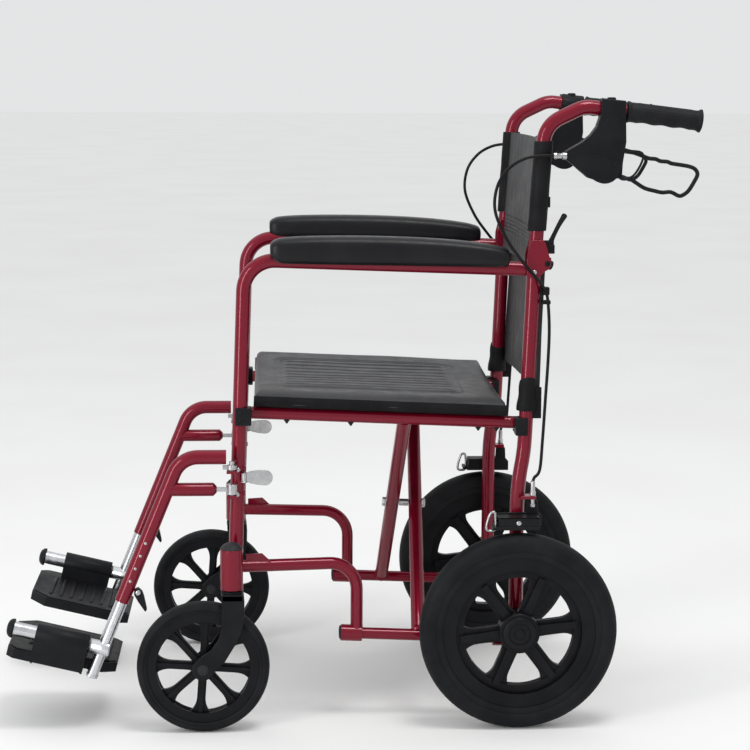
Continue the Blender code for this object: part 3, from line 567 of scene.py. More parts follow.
def arm_pad(side, s):
    """Moulded pad: thick over its front two thirds, thinning to a low tail."""
    knots = [(-0.3776, 0.73, 0.7385, 0.013), (-0.3765, 0.7235, 0.7435, 0.018),
             (-0.37, 0.7165, 0.7482, 0.0225), (-0.358, 0.7128, 0.7512, 0.0243),
             (-0.32, 0.7117, 0.7535, 0.025), (-0.25, 0.7104, 0.754, 0.025), (-0.17, 0.7092, 0.7522, 0.025),
             (-0.1, 0.7081, 0.7478, 0.025), (-0.05, 0.7074, 0.7418, 0.0246),
             (-0.029, 0.7075, 0.7372, 0.0235), (-0.0205, 0.7095, 0.7335, 0.0205),
             (-0.018, 0.715, 0.7285, 0.016)]
    work = bmesh.new()
    rings = []
    for knot in flowing([Vector(knot) for knot in knots], 3):
        rings.append([place(s * 0.224 + dx, behind, z) for dx, behind, z in section(*knot)])
    skin(work, rings)
    pad = side_piece(side, "pad", work, "foam", "frame", "arm_pad", smooth=60)

    work = bmesh.new()
    for behind in (-0.325, -0.07):
        bolt_head(work, place(s * SIDE_X, behind, 0.7012 - behind * 0.018), -UP, 0.0034, 0.002)
    side_piece(side, "pad_screws", work, "steel", "frame")


def saddles(side, s):
    for end in ("front", "rear"):
        saddle(side, s, end)


def saddle(side, s, end):
    """Black block on a post, notched so that the seat rail drops into it."""
    front, wall, back = {"front": (-0.431, -0.414, -0.4065), "rear": (0.014, 0.001, -0.005)}[end]
    rail_z = on_slope(0, (wall + back) / 2, RAIL_H).z
    low, high = rail_z - THIN_R - 0.004, rail_z + 0.0125
    work = bmesh.new()
    brick(work, place(s * 0.183, wall, low), place(s * 0.22, back, rail_z - THIN_R - 0.0008))
    brick(work, place(s * 0.2025, front, low - 0.001), place(s * 0.2275, back, high))
    brick(work, place(s * 0.183, front, low), place(s * 0.22, wall, high - 0.003))
    piece(f"saddle_{end}_{side}", work, "plastic", "frame_" + side, [f"seat_saddle_{end}_{side}"],
          bevel=0.0018)

    work = bmesh.new()
    for z in (low + 0.007, high - 0.007):
        bolt_head(work, place(s * 0.2274, (front + wall) / 2, z), Vector((s, 0, 0)), 0.0026, 0.0014)
    piece(f"saddle_screws_{end}_{side}", work, "plastic", "frame_" + side)


def fold_bracket(side, s):
    """Two plates that carry the back's pivot, with the knob behind them."""
    outline = [(0.008, 0.693), (0.015, 0.6905), (0.027, 0.6915), (0.0355, 0.7), (0.043, 0.704),
               (0.045, 0.714), (0.0405, 0.73), (0.0365, 0.7425), (0.0335, 0.7475), (0.014, 0.7475),
               (0.0085, 0.725)]
    work = bmesh.new()
    face = 0.2274
    for inner, outer in ((0.1988, 0.201), (0.2246, face)):
        side_slab(work, outline, s * inner, s * outer)
    side_piece(side, "fold_bracket_look", work, "paint", "frame", "fold_bracket", bevel=0.0009)
    work = bmesh.new()
    out = Vector((s, 0, 0))
    lathe(work, place(s * SIDE_X, 0.04, 0.7105), Vector((0, 0.94, -0.34)),
          [(0, 0.0045), (0.003, 0.0066), (0.0065, 0.0072), (0.009, 0.0062), (0.01, 0.0035)])
    bolt_head(work, place(s * face, *BACK_PIN), out, 0.0044, 0.002)
    side_piece(side, "fold_knob", work, "plastic", "frame", bevel=0.0004)
    work = bmesh.new()
    rod(work, place(s * 0.202, *BACK_PIN), place(s * 0.227, *BACK_PIN), 0.004)
    bolt_head(work, place(s * face, 0.02, 0.699), out, 0.0034, 0.0018)
    side_piece(side, "fold_rivet", work, "steel", "frame")


def brake_parts(side, s):
    """Bracket and cable adjuster on the post, and the channel-shaped arm that presses on the tyre."""
    work = bmesh.new()
    side_slab(work, [(-0.036, 0.31), (0.036, 0.31), (0.036, 0.326), (0.031, 0.331), (0.03, 0.35),
                     (0.014, 0.35), (0.013, 0.331), (-0.033, 0.33)], s * 0.2246, s * 0.229)
    side_piece(side, "brake_bracket_look", work, "plastic", "frame", "brake_bracket", bevel=0.001)
    work = bmesh.new()
    base = place(s * 0.229, 0.022, 0)
    lathe(work, base, UP, [(0.3385, 0.0024), (0.34, 0.004), (0.344, 0.0042), (0.3445, 0.003),
                           (0.3515, 0.003)], 18)
    lathe(work, base, UP, [(0.3575, 0.0046), (0.364, 0.0046), (0.3645, 0.0036), (0.378, 0.0036),
                           (0.38, 0.0025)], 18)
    out = Vector((s, 0, 0))
    for behind in (-0.02, 0.012):
        hex_head(work, place(s * 0.2288, behind, 0.319), out, 0.0046, 0.003)
    side_piece(side, "cable_adjuster", work, "steel", "frame", bevel=0.0003)

    work = bmesh.new()
    brick(work, place(s * 0.2322, -0.034, 0.312), place(s * 0.2345, 0.034, 0.329))
    brick(work, place(s * 0.2322, -0.033, 0.3268), place(s * 0.26, 0.03, 0.329))
    brick(work, place(s * 0.2578, -0.033, 0.312), place(s * 0.26, 0.03, 0.329))
    brick(work, place(s * 0.233, -0.042, 0.31), place(s * 0.262, 0.03, 0.315))
    side_piece(side, "brake_arm_look", work, "plastic", "brake_arm", "brake_arm", bevel=0.0008)
    work = bmesh.new()
    loop = [(-0.0365, 0.31), (-0.037, 0.332), (-0.041, 0.3355), (-0.045, 0.332), (-0.049, 0.32),
            (-0.05, 0.309), (-0.044, 0.3065)]
    wire_loop(work, s * 0.248, loop, 5, 0.0021, 14)
    bolt_head(work, place(s * 0.2598, -0.002, 0.3205), out, 0.0036, 0.0016)
    side_piece(side, "brake_shoe_end", work, "steel", "brake_arm", bevel=0.0006)


# ---- wheels
def spoke(work, centre, angle, inner, outer, widths, rib, depth):
    """A thin web that spreads into the rim, with a raised rib down its middle."""
    turn = Matrix.Translation(centre) @ Matrix.Rotation(math.radians(angle), 4, "X")
    hub, waist, rim = (w / 2 for w in widths)
    span = outer - inner
    side = [(inner, hub), (inner + 0.22 * span, waist), (inner + 0.62 * span, waist)]
    for k in range(1, 9):
        t = k / 8
        side.append((inner + span * (0.62 + 0.38 * math.sin(t * math.pi / 2)),
                     waist + (rim - waist) * (1 - math.cos(t * math.pi / 2))))
    bar = [(inner, 1.25 * rib), (outer, rib)]
    for edge, half in ((side, 0.45 * depth), (bar, depth)):
        slab(work, edge + mirrored(edge), lambda r, w: turn @ Vector((-half, r, w)),
             lambda r, w: turn @ Vector((half, r, w)))


def rim_profile(outer, inner, half):
    lip = 0.0035
    low = [(outer, -half), (inner, -half), (inner, lip - half), (inner + lip, 2.2 * lip - half)]
    return low + mirrored(low)


def tyre_profile(radius, inner, half):
    """Round tread with flat sidewalls and a bead line, as a closed profile of (radius, x)."""
    depth = radius - inner
    points = []
    for k in range(17):
        a = math.pi * (k / 16) - math.pi / 2
        points.append((inner + depth * (0.45 + 0.55 * math.cos(a) ** 0.8 if math.cos(a) > 1e-6 else 0.45),
                       -half * math.copysign(abs(math.sin(a)) ** 0.85, -math.sin(a))))
    bead = ((0.32, 0.985), (0.27, 0.93), (0.22, 0.97), (0.0, 0.86))
    wall = [(inner + depth * share, half * width) for share, width in bead]
    return points + wall + mirrored(wall)


def rear_wheel(side, s):
    centre = Vector((s * REAR_AXLE.x, REAR_AXLE.y, REAR_AXLE.z))
    out = Vector((s, 0, 0))
    work = bmesh.new()
    hoop(work, rim_profile(0.119, 0.0965, 0.0165), centre)
    hoop(work, [(0.0985, 0.008), (0.0985, -0.008), (0.0845, -0.008), (0.0845, 0.008)], centre)
    for i in range(6):
        spoke(work, centre, 7 + 60 * i, 0.024, 0.09, (0.026, 0.024, 0.066), 0.0052, 0.012)
    lathe(work, centre, out, [(-0.0235, 0.02), (-0.0225, 0.029), (0.013, 0.031), (0.0205, 0.031),
                              (0.0222, 0.0295)], 48)
    side_piece(side, "rear_rim_look", work, "wheel", "rear_wheel", "rear_rim", bevel=0.0012)
    work = bmesh.new()
    lathe(work, centre, out, [(0.02, 0.0262), (0.024, 0.0262), (0.0262, 0.024), (0.0262, 0.017),
                              (0.024, 0.016), (0.024, 0.008), (0.0256, 0.007), (0.0256, 0.003)], 48)
    side_piece(side, "hub_cap", work, "plastic", "rear_wheel", smooth=50)
    work = bmesh.new()
    hoop(work, tyre_profile(REAR_AXLE.z, 0.1175, 0.0215), centre, 128)
    side_piece(side, "rear_tyre_look", work, "tyre", "rear_wheel", "rear_tyre", smooth=50)


def caster(side, s):
    stem = place(s * CASTER_AXLE.x, STEM_BEHIND, 0)
    axle = (CASTER_AXLE.y - AXLE_Y, CASTER_AXLE.z)
    centre = place(s * CASTER_AXLE.x, *axle)
    hub = arc(axle, 0.0168, -10, -205, 12)
    outline = [(-0.4195, 0.216), (-0.418, 0.195), (-0.4185, 0.175), (-0.4225, 0.158), (-0.43, 0.142),
               (-0.448, 0.112)]
    outline += hub + [(-0.486, 0.119), (-0.468, 0.132), (-0.457, 0.148), (-0.4525, 0.165), (-0.452, 0.216)]
    work = bmesh.new()
    inner, outer = 0.0192, 0.0238
    for low, high in ((-outer, -inner), (inner, outer)):
        side_slab(work, outline, stem.x + low, stem.x + high)
    brick(work, place(stem.x - outer, -0.4522, 0.206), place(stem.x + outer, -0.4195, 0.2165))
    lathe(work, stem, UP, [(0.21, 0.0165), (0.218, 0.0165), (0.219, 0.015)])
    rod(work, stem + UP * 0.21, stem + UP * 0.2745, 0.0075)
    side_piece(side, "fork_look", work, "plastic", "caster_fork", "caster_fork", bevel=0.0014)
    work = bmesh.new()
    for sign in (1, -1):
        out = Vector((sign, 0, 0))
        lathe(work, centre + out * (outer - 0.0002), out,
              [(-0.001, 0.0085), (0.0014, 0.0085), (0.0018, 0.0062), (0.0032, 0.006), (0.0036, 0.0045)], 24)
    side_piece(side, "caster_bolt", work, "cap", "caster_fork", bevel=0.0003)
    work = bmesh.new()
    hoop(work, rim_profile(0.0862, 0.0712, 0.0115), centre)
    for i in range(8):
        spoke(work, centre, 45 * i - 4, 0.01, 0.073, (0.015, 0.013, 0.044), 0.0028, 0.0075)
    drum(work, centre, Vector((1, 0, 0)), (-0.0185, 0.0185), 0.015, (0.001, 0.003))
    side_piece(side, "caster_rim_look", work, "wheel", "caster_wheel", "caster_rim", bevel=0.0009)
    work = bmesh.new()
    hoop(work, tyre_profile(CASTER_AXLE.z, 0.0858, 0.0158), centre, 112)
    side_piece(side, "caster_tyre_look", work, "tyre", "caster_wheel", "caster_tyre", smooth=50)


# ---- footrests
def hanger(side, s):
    """Bent footrest tube with its stay, hinge sleeves and screws, and the lever for its length."""
    x = s * HANGER_X
    top_z, stay_z = 0.421, 0.3716
    corners = in_plane(x, [(-0.4446, top_z), (hanger_behind(top_z), top_z), HANGER_FOOT])
    work = bmesh.new()
    sweep(work, rounded(corners, 0.04, 16), TUBE_R)
    stay = place(x, -0.459, stay_z)
    lathe(work, stay, FORWARD, [(0.0, 0.005), (0.0045, 0.0095), (0.006, 0.0102),
                                (-hanger_behind(stay_z) - 0.459, 0.0102)])
    side_piece(side, "hanger_look", work, "paint", "hanger", "hanger", bevel=0.0006)
    work = bmesh.new()
    for low, high, reach in ((0.3635, 0.3795, -0.46), (0.4015, 0.409, -0.45)):
        drum(work, place(x, -0.436, 0), UP, (low, high), 0.008, (0.0006, 0.0006), 28)
        mid = (low + high) / 2
        brick(work, place(x - 0.0035, reach, mid - 0.003), place(x + 0.0035, -0.442, mid + 0.003))
    out = Vector((s, 0, 0))
    for i in range(4):
        z = 0.291 - 0.0195 * i
        bolt_head(work, place(x + s * (TUBE_R - 0.0004), hanger_behind(z), z), out, 0.0024, 0.0012)
    bolt_head(work, place(x + s * 0.008, -0.5788, 0.214), out, 0.0042, 0.0024)
    side_piece(side, "hanger_fittings", work, "steel", "hanger", bevel=0.0004)

    work = bmesh.new()
    outline = [(-0.585, 0.218), (-0.579, 0.2205), (-0.573, 0.215), (-0.57, 0.206), (-0.566, 0.186),
               (-0.5685, 0.1835), (-0.579, 0.199), (-0.585, 0.21)]
    side_slab(work, outline, x - 0.006, x + 0.006)
    side_piece(side, "length_lever_look", work, "plastic", "length_lever", "length_lever", bevel=0.0012)


def latch(side, s):
    """Paddle that frees the hanger."""
    x = s * 0.23
    shape = [(-0.419, 0.3835), (-0.419, 0.3935), (-0.408, 0.3978), (-0.396, 0.3992)]
    shape += arc((-0.3862, 0.3874), 0.0118, 88, -88, 12) + [(-0.396, 0.3765), (-0.408, 0.379)]
    work = bmesh.new()
    side_slab(work, shape, x - 0.0014, x + 0.0014)
    rod(work, place(x, -0.4175, 0.382), place(x, -0.4175, 0.395), 0.0042)
    lathe(work, place(x, -0.4175, 0.38), UP, [(0.0, 0.0052), (0.002, 0.0052), (0.0022, 0.004)], 20)
    side_piece(side, "latch_look", work, "steel", "hanger_latch", "hanger_latch", bevel=0.0008)


def footplate_frame(s):
    """The footplate's own frame: outward, forward along its axle, and up from its tread."""
    start = place(0, hanger_behind(0.1262), 0.1262)
    run = Vector((0, -math.cos(AXLE_TILT), math.sin(AXLE_TILT)))
    up = Vector((0, math.sin(AXLE_TILT), math.cos(AXLE_TILT)))
    return Matrix.Translation(start) @ Matrix((Vector((s, 0, 0)), run, up)).transposed().to_4x4()


def footrest(side, s):
    """Grooved extension tube, and the axle under the footplate."""
    x = s * HANGER_X
    low, high = place(x, hanger_behind(0.083), 0.083), place(x, hanger_behind(0.262), 0.262)
    along = (high - low).normalized()
    turn = footplate_frame(s)
    start = turn @ Vector((HANGER_X, 0, 0))
    run = (turn.to_3x3() @ Vector((0, 1, 0))).normalized()
    work = bmesh.new()
    rod(work, low, high, 0.0088)
    for k in range(4):
        a = math.radians(25 + 100 * k)
        offset = Matrix.Rotation(a, 3, along) @ along.orthogonal().normalized() * 0.0084
        rod(work, low + along * 0.045 + offset, high + offset, 0.0011, 8)
    lathe(work, start, run, [(-0.0105, 0.01), (-0.009, 0.0118), (0.007, 0.0118), (0.008, 0.011),
                             (0.1385, 0.011)])
    lathe(work, low, -along, [(-0.004, 0.0096), (0.0005, 0.0096), (0.0015, 0.0075)], 24)
    side_piece(side, "extension_look", work, "drawn", "footrest", "footrest_extension", bevel=0.0006)
    work = bmesh.new()
    lathe(work, start, run, [(0.137, 0.009), (0.1375, 0.0146), (0.1395, 0.015), (0.143, 0.0138),
                             (0.1462, 0.0105), (0.1478, 0.006), (0.1482, 0.002)])
    side_piece(side, "axle_cap", work, "plastic", "footrest", smooth=60)


TREAD_INNER, TREAD_OUTER = 0.101, 0.212
BAR_HALF_WIDTH, BAR_HEIGHT = 0.0034, 0.0022


def tread_bar(work, first, last, across, rise):
    """A raised bar with rounded ends, half sunk in the tread."""
    along = (last - first).normalized()
    rings = []
    for centre, scale in ((first - along * 0.0034, 0.2), (first - along * 0.0024, 0.7), (first, 1.0),
                          (last, 1.0), (last + along * 0.0024, 0.7), (last + along * 0.0034, 0.2)):
        ring = []
        for a in round_angles(14):
            side = across * BAR_HALF_WIDTH * math.cos(a) + rise * BAR_HEIGHT * math.sin(a)
            ring.append(centre + side * scale)
        rings.append(ring)
    skin(work, rings)


def footplate(side, s):
    """Tread plate with raised bars, hung from a half-shell barrel that turns on the axle."""
    turn = footplate_frame(s)
    top, bottom = -0.0245, -0.041
    outline = [(0.2545, 0.0222), (0.2545, 0.13), (0.244, 0.14), (0.1, 0.14), (0.074, 0.114),
               (0.074, -0.014), (0.084, -0.027), (0.206, -0.027), (0.2262, -0.006), (0.2262, 0.0222)]
    work = bmesh.new()
    framed_slab(work, outline, bottom, top - 0.0015, turn)
    step = 0.0035
    inset = [(u + (step if u < 0.16 else -step), v + (step if v < 0.05 else -step)) for u, v in outline]
    framed_slab(work, inset, top - 0.003, top, turn)
    across, rise = turn.to_3x3() @ Vector((0, 1, 0)), turn.to_3x3() @ UP
    for k in range(8):
        v = -0.01 + 0.017 * k
        tread_bar(work, turn @ Vector((TREAD_INNER, v, top)), turn @ Vector((TREAD_OUTER, v, top)), across,
                  rise)
    start = turn @ Vector((HANGER_X, 0, 0))
    drum(work, start, across, (0.0222, 0.1035), 0.0166, (0.001, 0.0008))
    brick(work, Vector((HANGER_X - 0.016, 0.0222, bottom + 0.001)),
          Vector((HANGER_X + 0.0163, 0.1033, -0.001)), turn)
    for v in (0.0225, 0.099):
        brick(work, Vector((HANGER_X - 0.003, v, bottom - 0.0035)),
              Vector((HANGER_X + 0.01, v + 0.0035, bottom + 0.002)), turn)
    side_piece(side, "footplate_look", work, "plastic", "footplate", "footplate", bevel=0.0014)


# ---- back and handles
def cane(side, s):
    x = s * SIDE_X
    corners = in_plane(x, CANE)
    path = rounded(corners[:3], 0.042, 14)[:-1] + rounded(corners[1:], 0.042, 8)[1:]
    work = bmesh.new()
    sweep(work, path, TUBE_R)
    brick(work, place(x - 0.009, 0.0237, 0.7068), place(x + 0.009, 0.046, 0.7205))
    side_piece(side, "cane_look", work, "paint", "back", "back_cane", bevel=0.0008)


def grip(side, s):
    """Rubber grip: fine ribs along it, finger waves below, and a flared end."""
    x = s * SIDE_X
    first, last, steps, sides = 0.156, 0.2705, 90, 72
    ahead = (on_handle(x, last) - on_handle(x, first)).normalized()
    across = Vector((1, 0, 0))
    upward = across.cross(ahead).normalized()
    if upward.z < 0:
        upward.negate()
    rings = []
    for i in range(steps + 1):
        t = i / steps
        centre = on_handle(x, first + (last - first) * t)
        flare = 0.0025 * ease((t - 0.93) / 0.05) + 0.0012 * ease((0.06 - t) / 0.03)
        tuck = -0.003 * ease((0.012 - min(t, 1 - t)) / 0.012)
        ring = []
        for a in round_angles(sides):
            below = max(0.0, -math.sin(a)) ** 2
            held = ease((t - 0.06) / 0.05) * ease((0.92 - t) / 0.05)
            finger = -0.0016 * below * (0.5 + 0.5 * math.cos(2 * math.pi * 4 * t)) * held
            rib = 0.00035 * math.cos(24 * a) * ease((t - 0.12) / 0.03) * ease((0.88 - t) / 0.03)
            r = 0.015 + flare + tuck + finger + rib
            ring.append(centre + across * math.cos(a) * r + upward * math.sin(a) * r)
        rings.append(ring)
    work = bmesh.new()
    skin(work, rings)
    side_piece(side, "grip_look", work, "grip", "back", "grip", smooth=70)


def housing(side, s):
    """Brake housing: two cheeks and a rim, clamped on the push handle."""
    outer = [(0.1165, 0.959), (0.116, 0.935), (0.11, 0.917), (0.101, 0.905), (0.088, 0.894), (0.072, 0.885),
             (0.064, 0.88), (0.0632, 0.87), (0.078, 0.858), (0.098, 0.841)]
    outer += arc((0.123, 0.856), 0.0235, 230, 330, 10) + [(0.15, 0.865), (0.1545, 0.895), (0.1535, 0.925),
                                                          (0.153, 0.956)]
    work = bmesh.new()
    side_slab(work, outer, s * 0.2095, s * 0.215)
    side_slab(work, outer, s * 0.23, s * 0.2335)
    rim = outer[:17] + [(0.1245, 0.85), (0.1245, 0.901), (0.1545, 0.901), (0.1535, 0.925), (0.153, 0.956)]
    side_slab(work, rim, s * 0.214, s * 0.231)
    direction = (on_handle(0, 0.15) - on_handle(0, 0.12)).normalized()
    drum(work, on_handle(s * SIDE_X, 0.1165), direction, (0.0, 0.037), 0.0158, (0.001, 0.0008))
    side_piece(side, "housing_look", work, "plastic", "back", "brake_housing", bevel=0.0022)
    work = bmesh.new()
    out = Vector((s, 0, 0))
    for behind, z, r in ((0.127, 0.927, 0.0026), (0.14, 0.927, 0.0026), (0.1405, 0.862, 0.0042)):
        bolt_head(work, place(s * 0.2333, behind, z), out, r, 0.0012)
    lathe(work, place(s * SIDE_X, 0.134, 0.956), UP,
          [(0, 0.0068), (0.003, 0.0068), (0.0045, 0.0058), (0.0048, 0.002)], 20)
    crease = in_plane(s * 0.2336, [(0.07, 0.874), (0.09, 0.88), (0.115, 0.877), (0.14, 0.868)])
    sweep(work, flowing(crease, 8), 0.0007, 8)
    side_piece(side, "housing_screws", work, "plastic", "back")
    work = bmesh.new()
    lathe(work, place(s * 0.231, 0.045, 0.874), -FORWARD,
          [(0, 0.003), (0.001, 0.0046), (0.005, 0.005), (0.006, 0.0038), (0.013, 0.0038), (0.014, 0.0052),
           (0.02, 0.0052)], 20)
    side_piece(side, "ferrule", work, "steel", "back", smooth=50)


def lever(side, s):
    """Brake lever and parking link, each a loop of wire."""
    x = s * LEVER_X
    loop = [(0.148, 0.88), (0.159, 0.881), (0.179, 0.8745), (0.19, 0.8702), (0.201, 0.869), (0.208, 0.866),
            (0.219, 0.865), (0.225, 0.8625), (0.24, 0.8602), (0.252, 0.858), (0.261, 0.854),
            (0.2648, 0.846), (0.26, 0.835), (0.252, 0.822), (0.244, 0.8155), (0.237, 0.814),
            (0.225, 0.8195), (0.212, 0.819), (0.2, 0.8214), (0.185, 0.8255), (0.172, 0.8335),
            (0.162, 0.8395), (0.147, 0.8435)]
    work = bmesh.new()
    wire_loop(work, x, loop, 6, 0.0031, 20)
    side_slab(work, [(0.1385, 0.843), (0.15, 0.842), (0.152, 0.882), (0.1425, 0.8815)], x - 0.0032,
              x + 0.0032)
    side_piece(side, "lever_look", work, "plastic", "brake_lever", "brake_lever", bevel=0.0008)
    x = s * (LEVER_X + 0.0062)
    link = [(0.14, 0.876), (0.148, 0.8815), (0.162, 0.8815), (0.1764, 0.8797), (0.1811, 0.8737),
            (0.177, 0.86), (0.1681, 0.846), (0.16, 0.841), (0.15, 0.84), (0.14, 0.848)]
    work = bmesh.new()
    wire_loop(work, x, link, 5, 0.0017, 16)
    side_piece(side, "link_look", work, "plastic", "parking_link", "parking_link")


def release(side, s):
    """Finger lever that frees the folding back."""
    x = s * SIDE_X
    work = bmesh.new()
    brick(work, place(x - 0.008, 0.0385, 0.7265), place(x + 0.008, 0.051, 0.74))
    brick(work, place(x - 0.006, 0.036, 0.737), place(x + 0.006, 0.05, 0.746))
    path = in_plane(x, [(0.044, 0.74), (0.05, 0.7535), (0.0575, 0.769), (0.066, 0.7835)])
    sweep(work, flowing(path, 5), [0.0045 - 0.0012 * math.sin(math.pi * k / 15) for k in range(16)], 20)
    lathe(work, path[-1], (path[-1] - path[-2]).normalized(),
          [(-0.001, 0.0045), (0.0015, 0.004), (0.003, 0.0015)], 20)
    side_piece(side, "release_look", work, "plastic", "back_release", "back_release", bevel=0.0009)


CABLE_R = 0.0024
CABLE_UPPER = [(0.231, 0.0452, 0.874), (0.2325, 0.027, 0.8742), (0.236, 0.002, 0.87),
               (0.24, -0.0215, 0.856), (0.243, -0.039, 0.83), (0.244, -0.0425, 0.7934),
               (0.244, -0.026, 0.753), (0.2405, -0.005, 0.723), (0.2365, 0.01, 0.705),
               (0.2335, 0.0215, 0.692), (0.228, 0.0325, 0.679), (0.219, 0.04, 0.666)]
CABLE_LOWER = [(0.219, 0.04, 0.666), (0.22, 0.0425, 0.65), (0.225, 0.044, 0.6126), (0.229, 0.0425, 0.567),
               (0.231, 0.039, 0.5058), (0.232, 0.0355, 0.4443), (0.2315, 0.032, 0.398),
               (0.2295, 0.024, 0.385), (0.229, 0.022, 0.378)]


def cable(name, body, node, points):
    """One run of the brake's cable in its stiff sheath."""
    path = flowing(points, 8)
    work = bmesh.new()
    sweep(work, path, CABLE_R, 16)
    made = piece(name, work, "cable", body, [node])
    return made


def cables(side, s):
    """The cable's free run from the housing to its clip, and its run down the post."""
    upper = cable("cable_upper_look_" + side, None, "cable_upper_" + side,
                  [place(s * x, b, z) for x, b, z in CABLE_UPPER])
    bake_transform(upper)
    cable("cable_lower_look_" + side, "frame_" + side, "cable_lower_" + side,
          [place(s * x, b, z) for x, b, z in CABLE_LOWER])
    work = bmesh.new()
    brick(work, place(s * 0.212, 0.034, 0.664), place(s * 0.224, 0.044, 0.676))
    brick(work, place(s * 0.212, 0.033, 0.65), place(s * 0.2235, 0.046, 0.656))
    side_piece(side, "cable_clip", work, "plastic", "frame", bevel=0.0014)


# ---- X brace
def cross_brace(label, s, along):
    """One brace: its foot tube, cross tube and seat rail."""
    body = "brace_" + label
    foot, top = on_slope(s * RAIL_X, along, FOOT_H), on_slope(-s * RAIL_X, along, RAIL_H)
    rise = (top - foot).normalized()
    work = bmesh.new()
    rod(work, on_slope(s * RAIL_X, -0.274, FOOT_H), on_slope(s * RAIL_X, -0.011, FOOT_H), 0.009)
    rod(work, foot + rise * 0.003, top - rise * 0.003, TUBE_R)
    front, back = (on_slope(-s * RAIL_X, u, RAIL_H) for u in (-0.4265, -0.016))
    rod(work, front, back, THIN_R)
    lathe(work, foot, rise, [(0.002, 0.0118), (0.006, 0.0135), (0.011, 0.0118)])
    piece("brace_look_" + label, work, "paint", body, ["cross_brace_" + label], bevel=0.0006)
    work = bmesh.new()
    for u in (-0.372, -0.274, -0.078, -0.05):
        point = on_slope(-s * RAIL_X, u, RAIL_H - THIN_R)
        lathe(work, point, -UP, [(-0.002, 0.0044), (0.0012, 0.0044), (0.0024, 0.003), (0.0055, 0.0012)], 16)
    for out, point in ((FORWARD, front), (-FORWARD, back)):
        lathe(work, point, out, [(-0.002, 0.0085), (0.0004, 0.0085), (0.0009, 0.006)], 24)
    piece("rail_screws_" + label, work, "plastic", body)


def centre_bolt():
    mid = (FOOT_H + RAIL_H) / 2
    ends = [on_slope(0, BRACE_A_U - TUBE_R - 0.0005, mid), on_slope(0, BRACE_B_U + TUBE_R + 0.0005, mid)]
    axis = (ends[1] - ends[0]).normalized()
    work = bmesh.new()
    rod(work, ends[0], ends[1], 0.0058)
    hex_head(work, on_slope(0, BRACE_A_U + TUBE_R - 0.0005, mid), -axis, 0.0075, 0.0055)
    piece("centre_bolt_look", work, "steel", "brace_a", ["centre_bolt"], bevel=0.0004)
    work = bmesh.new()
    hex_head(work, on_slope(0, BRACE_B_U - TUBE_R + 0.0005, mid), axis, 0.0075, 0.006)
    piece("centre_nut", work, "steel", "brace_b", bevel=0.0004)


# ---- upholstery
SEAT_HALF_WIDTH, SEAT_HALF_LENGTH = 0.213, 0.1925


def groove(distance, width, depth):
    return -depth * math.exp(-(distance / width) ** 2)


def seat_height(u, v):
    """How far the seat's top stands off its flat level, at u across and v along it, each from -1 to 1."""
    x, y = u * SEAT_HALF_WIDTH, v * SEAT_HALF_LENGTH
    crown = -0.0085 * math.cos(math.pi * u / 2) - 0.0045 * u
    panel_x, panel_y = 0.128, 0.138
    corner = 0.02
    out_x, out_y = abs(x) - panel_x + corner, abs(y + 0.012) - panel_y + corner
    edge = math.hypot(max(out_x, 0), max(out_y, 0)) - corner + min(max(out_x, out_y), 0)
    height = crown + groove(edge, 0.0016, 0.0022) + groove(edge - 0.0105, 0.0016, 0.0018)
    if edge < -0.004:
        fade = ease((-edge - 0.004) / 0.008)
        pitch = 0.0262
        nearest = x - pitch * round(x / pitch)
        height += fade * (groove(nearest, 0.0022, 0.0024) + 0.0012)
    broad = noise.noise(Vector((x * 9, y * 6, 0.3))) * 0.0016
    fine = noise.noise(Vector((x * 34, y * 22, 1.7))) * 0.0004
    return height + (broad + fine)


def seat_point(u, v, middle_u, on_top):
    """A point of the sling's top or underside, which meet in a rolled edge."""
    near = min(SEAT_HALF_WIDTH * (1 - abs(u)) / 0.036, SEAT_HALF_LENGTH * (1 - abs(v)) / 0.014)
    roll = math.sqrt(max(0.0, 1 - (1 - min(near, 1.0)) ** 2))
    base = RAIL_H + THIN_R + 0.0004
    thick = RAIL_H + 0.042 - base
    if on_top:
        height = base + thick * (0.42 + 0.58 * roll) + seat_height(u, v) * roll
    else:
        height = base + thick * 0.3 * (1 - roll) + 0.004 * roll * (1 - abs(u) ** 6)
    return on_slope(u * SEAT_HALF_WIDTH, middle_u + v * SEAT_HALF_LENGTH, height)


def seat_face(work, middle_u, on_top):
    """The sling's top or underside as a grid, and the ring of points round its edge."""
    across, along = 150, 130
    rows = []
    for j in range(along + 1):
        v = 2 * j / along - 1
        points = [seat_point(2 * i / across - 1, v, middle_u, on_top) for i in range(across + 1)]
        rows.append([work.verts.new(point) for point in points])
    for a, b in zip(rows, rows[1:]):
        for i in range(across):
            work.faces.new((a[i], a[i + 1], b[i + 1], b[i]))
    return rows[0] + [row[-1] for row in rows[1:]] + rows[-1][-2::-1] + [row[0] for row in rows[-2:0:-1]]


def seat():
    """Padded sling: a crowned top with a stitched border and long channels, over a thin flat underside."""
    centre_u = middle("seat_sling").y - AXLE_Y
    middle_u = centre_u - RAIL_H * math.sin(SLOPE)
    work = bmesh.new()
    top = seat_face(work, middle_u, True)
    low = seat_face(work, middle_u, False)
    for i in range(len(top)):
        j = (i + 1) % len(top)
        work.faces.new((top[j], top[i], low[i], low[j]))
    pad = piece("seat_look", work, "seat_cloth_painted_shine", None, ["seat_sling"], smooth=75)
    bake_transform(pad)
    for side, s in SIDES.items():
        seat_binding_and_shade(side, s, middle_u)


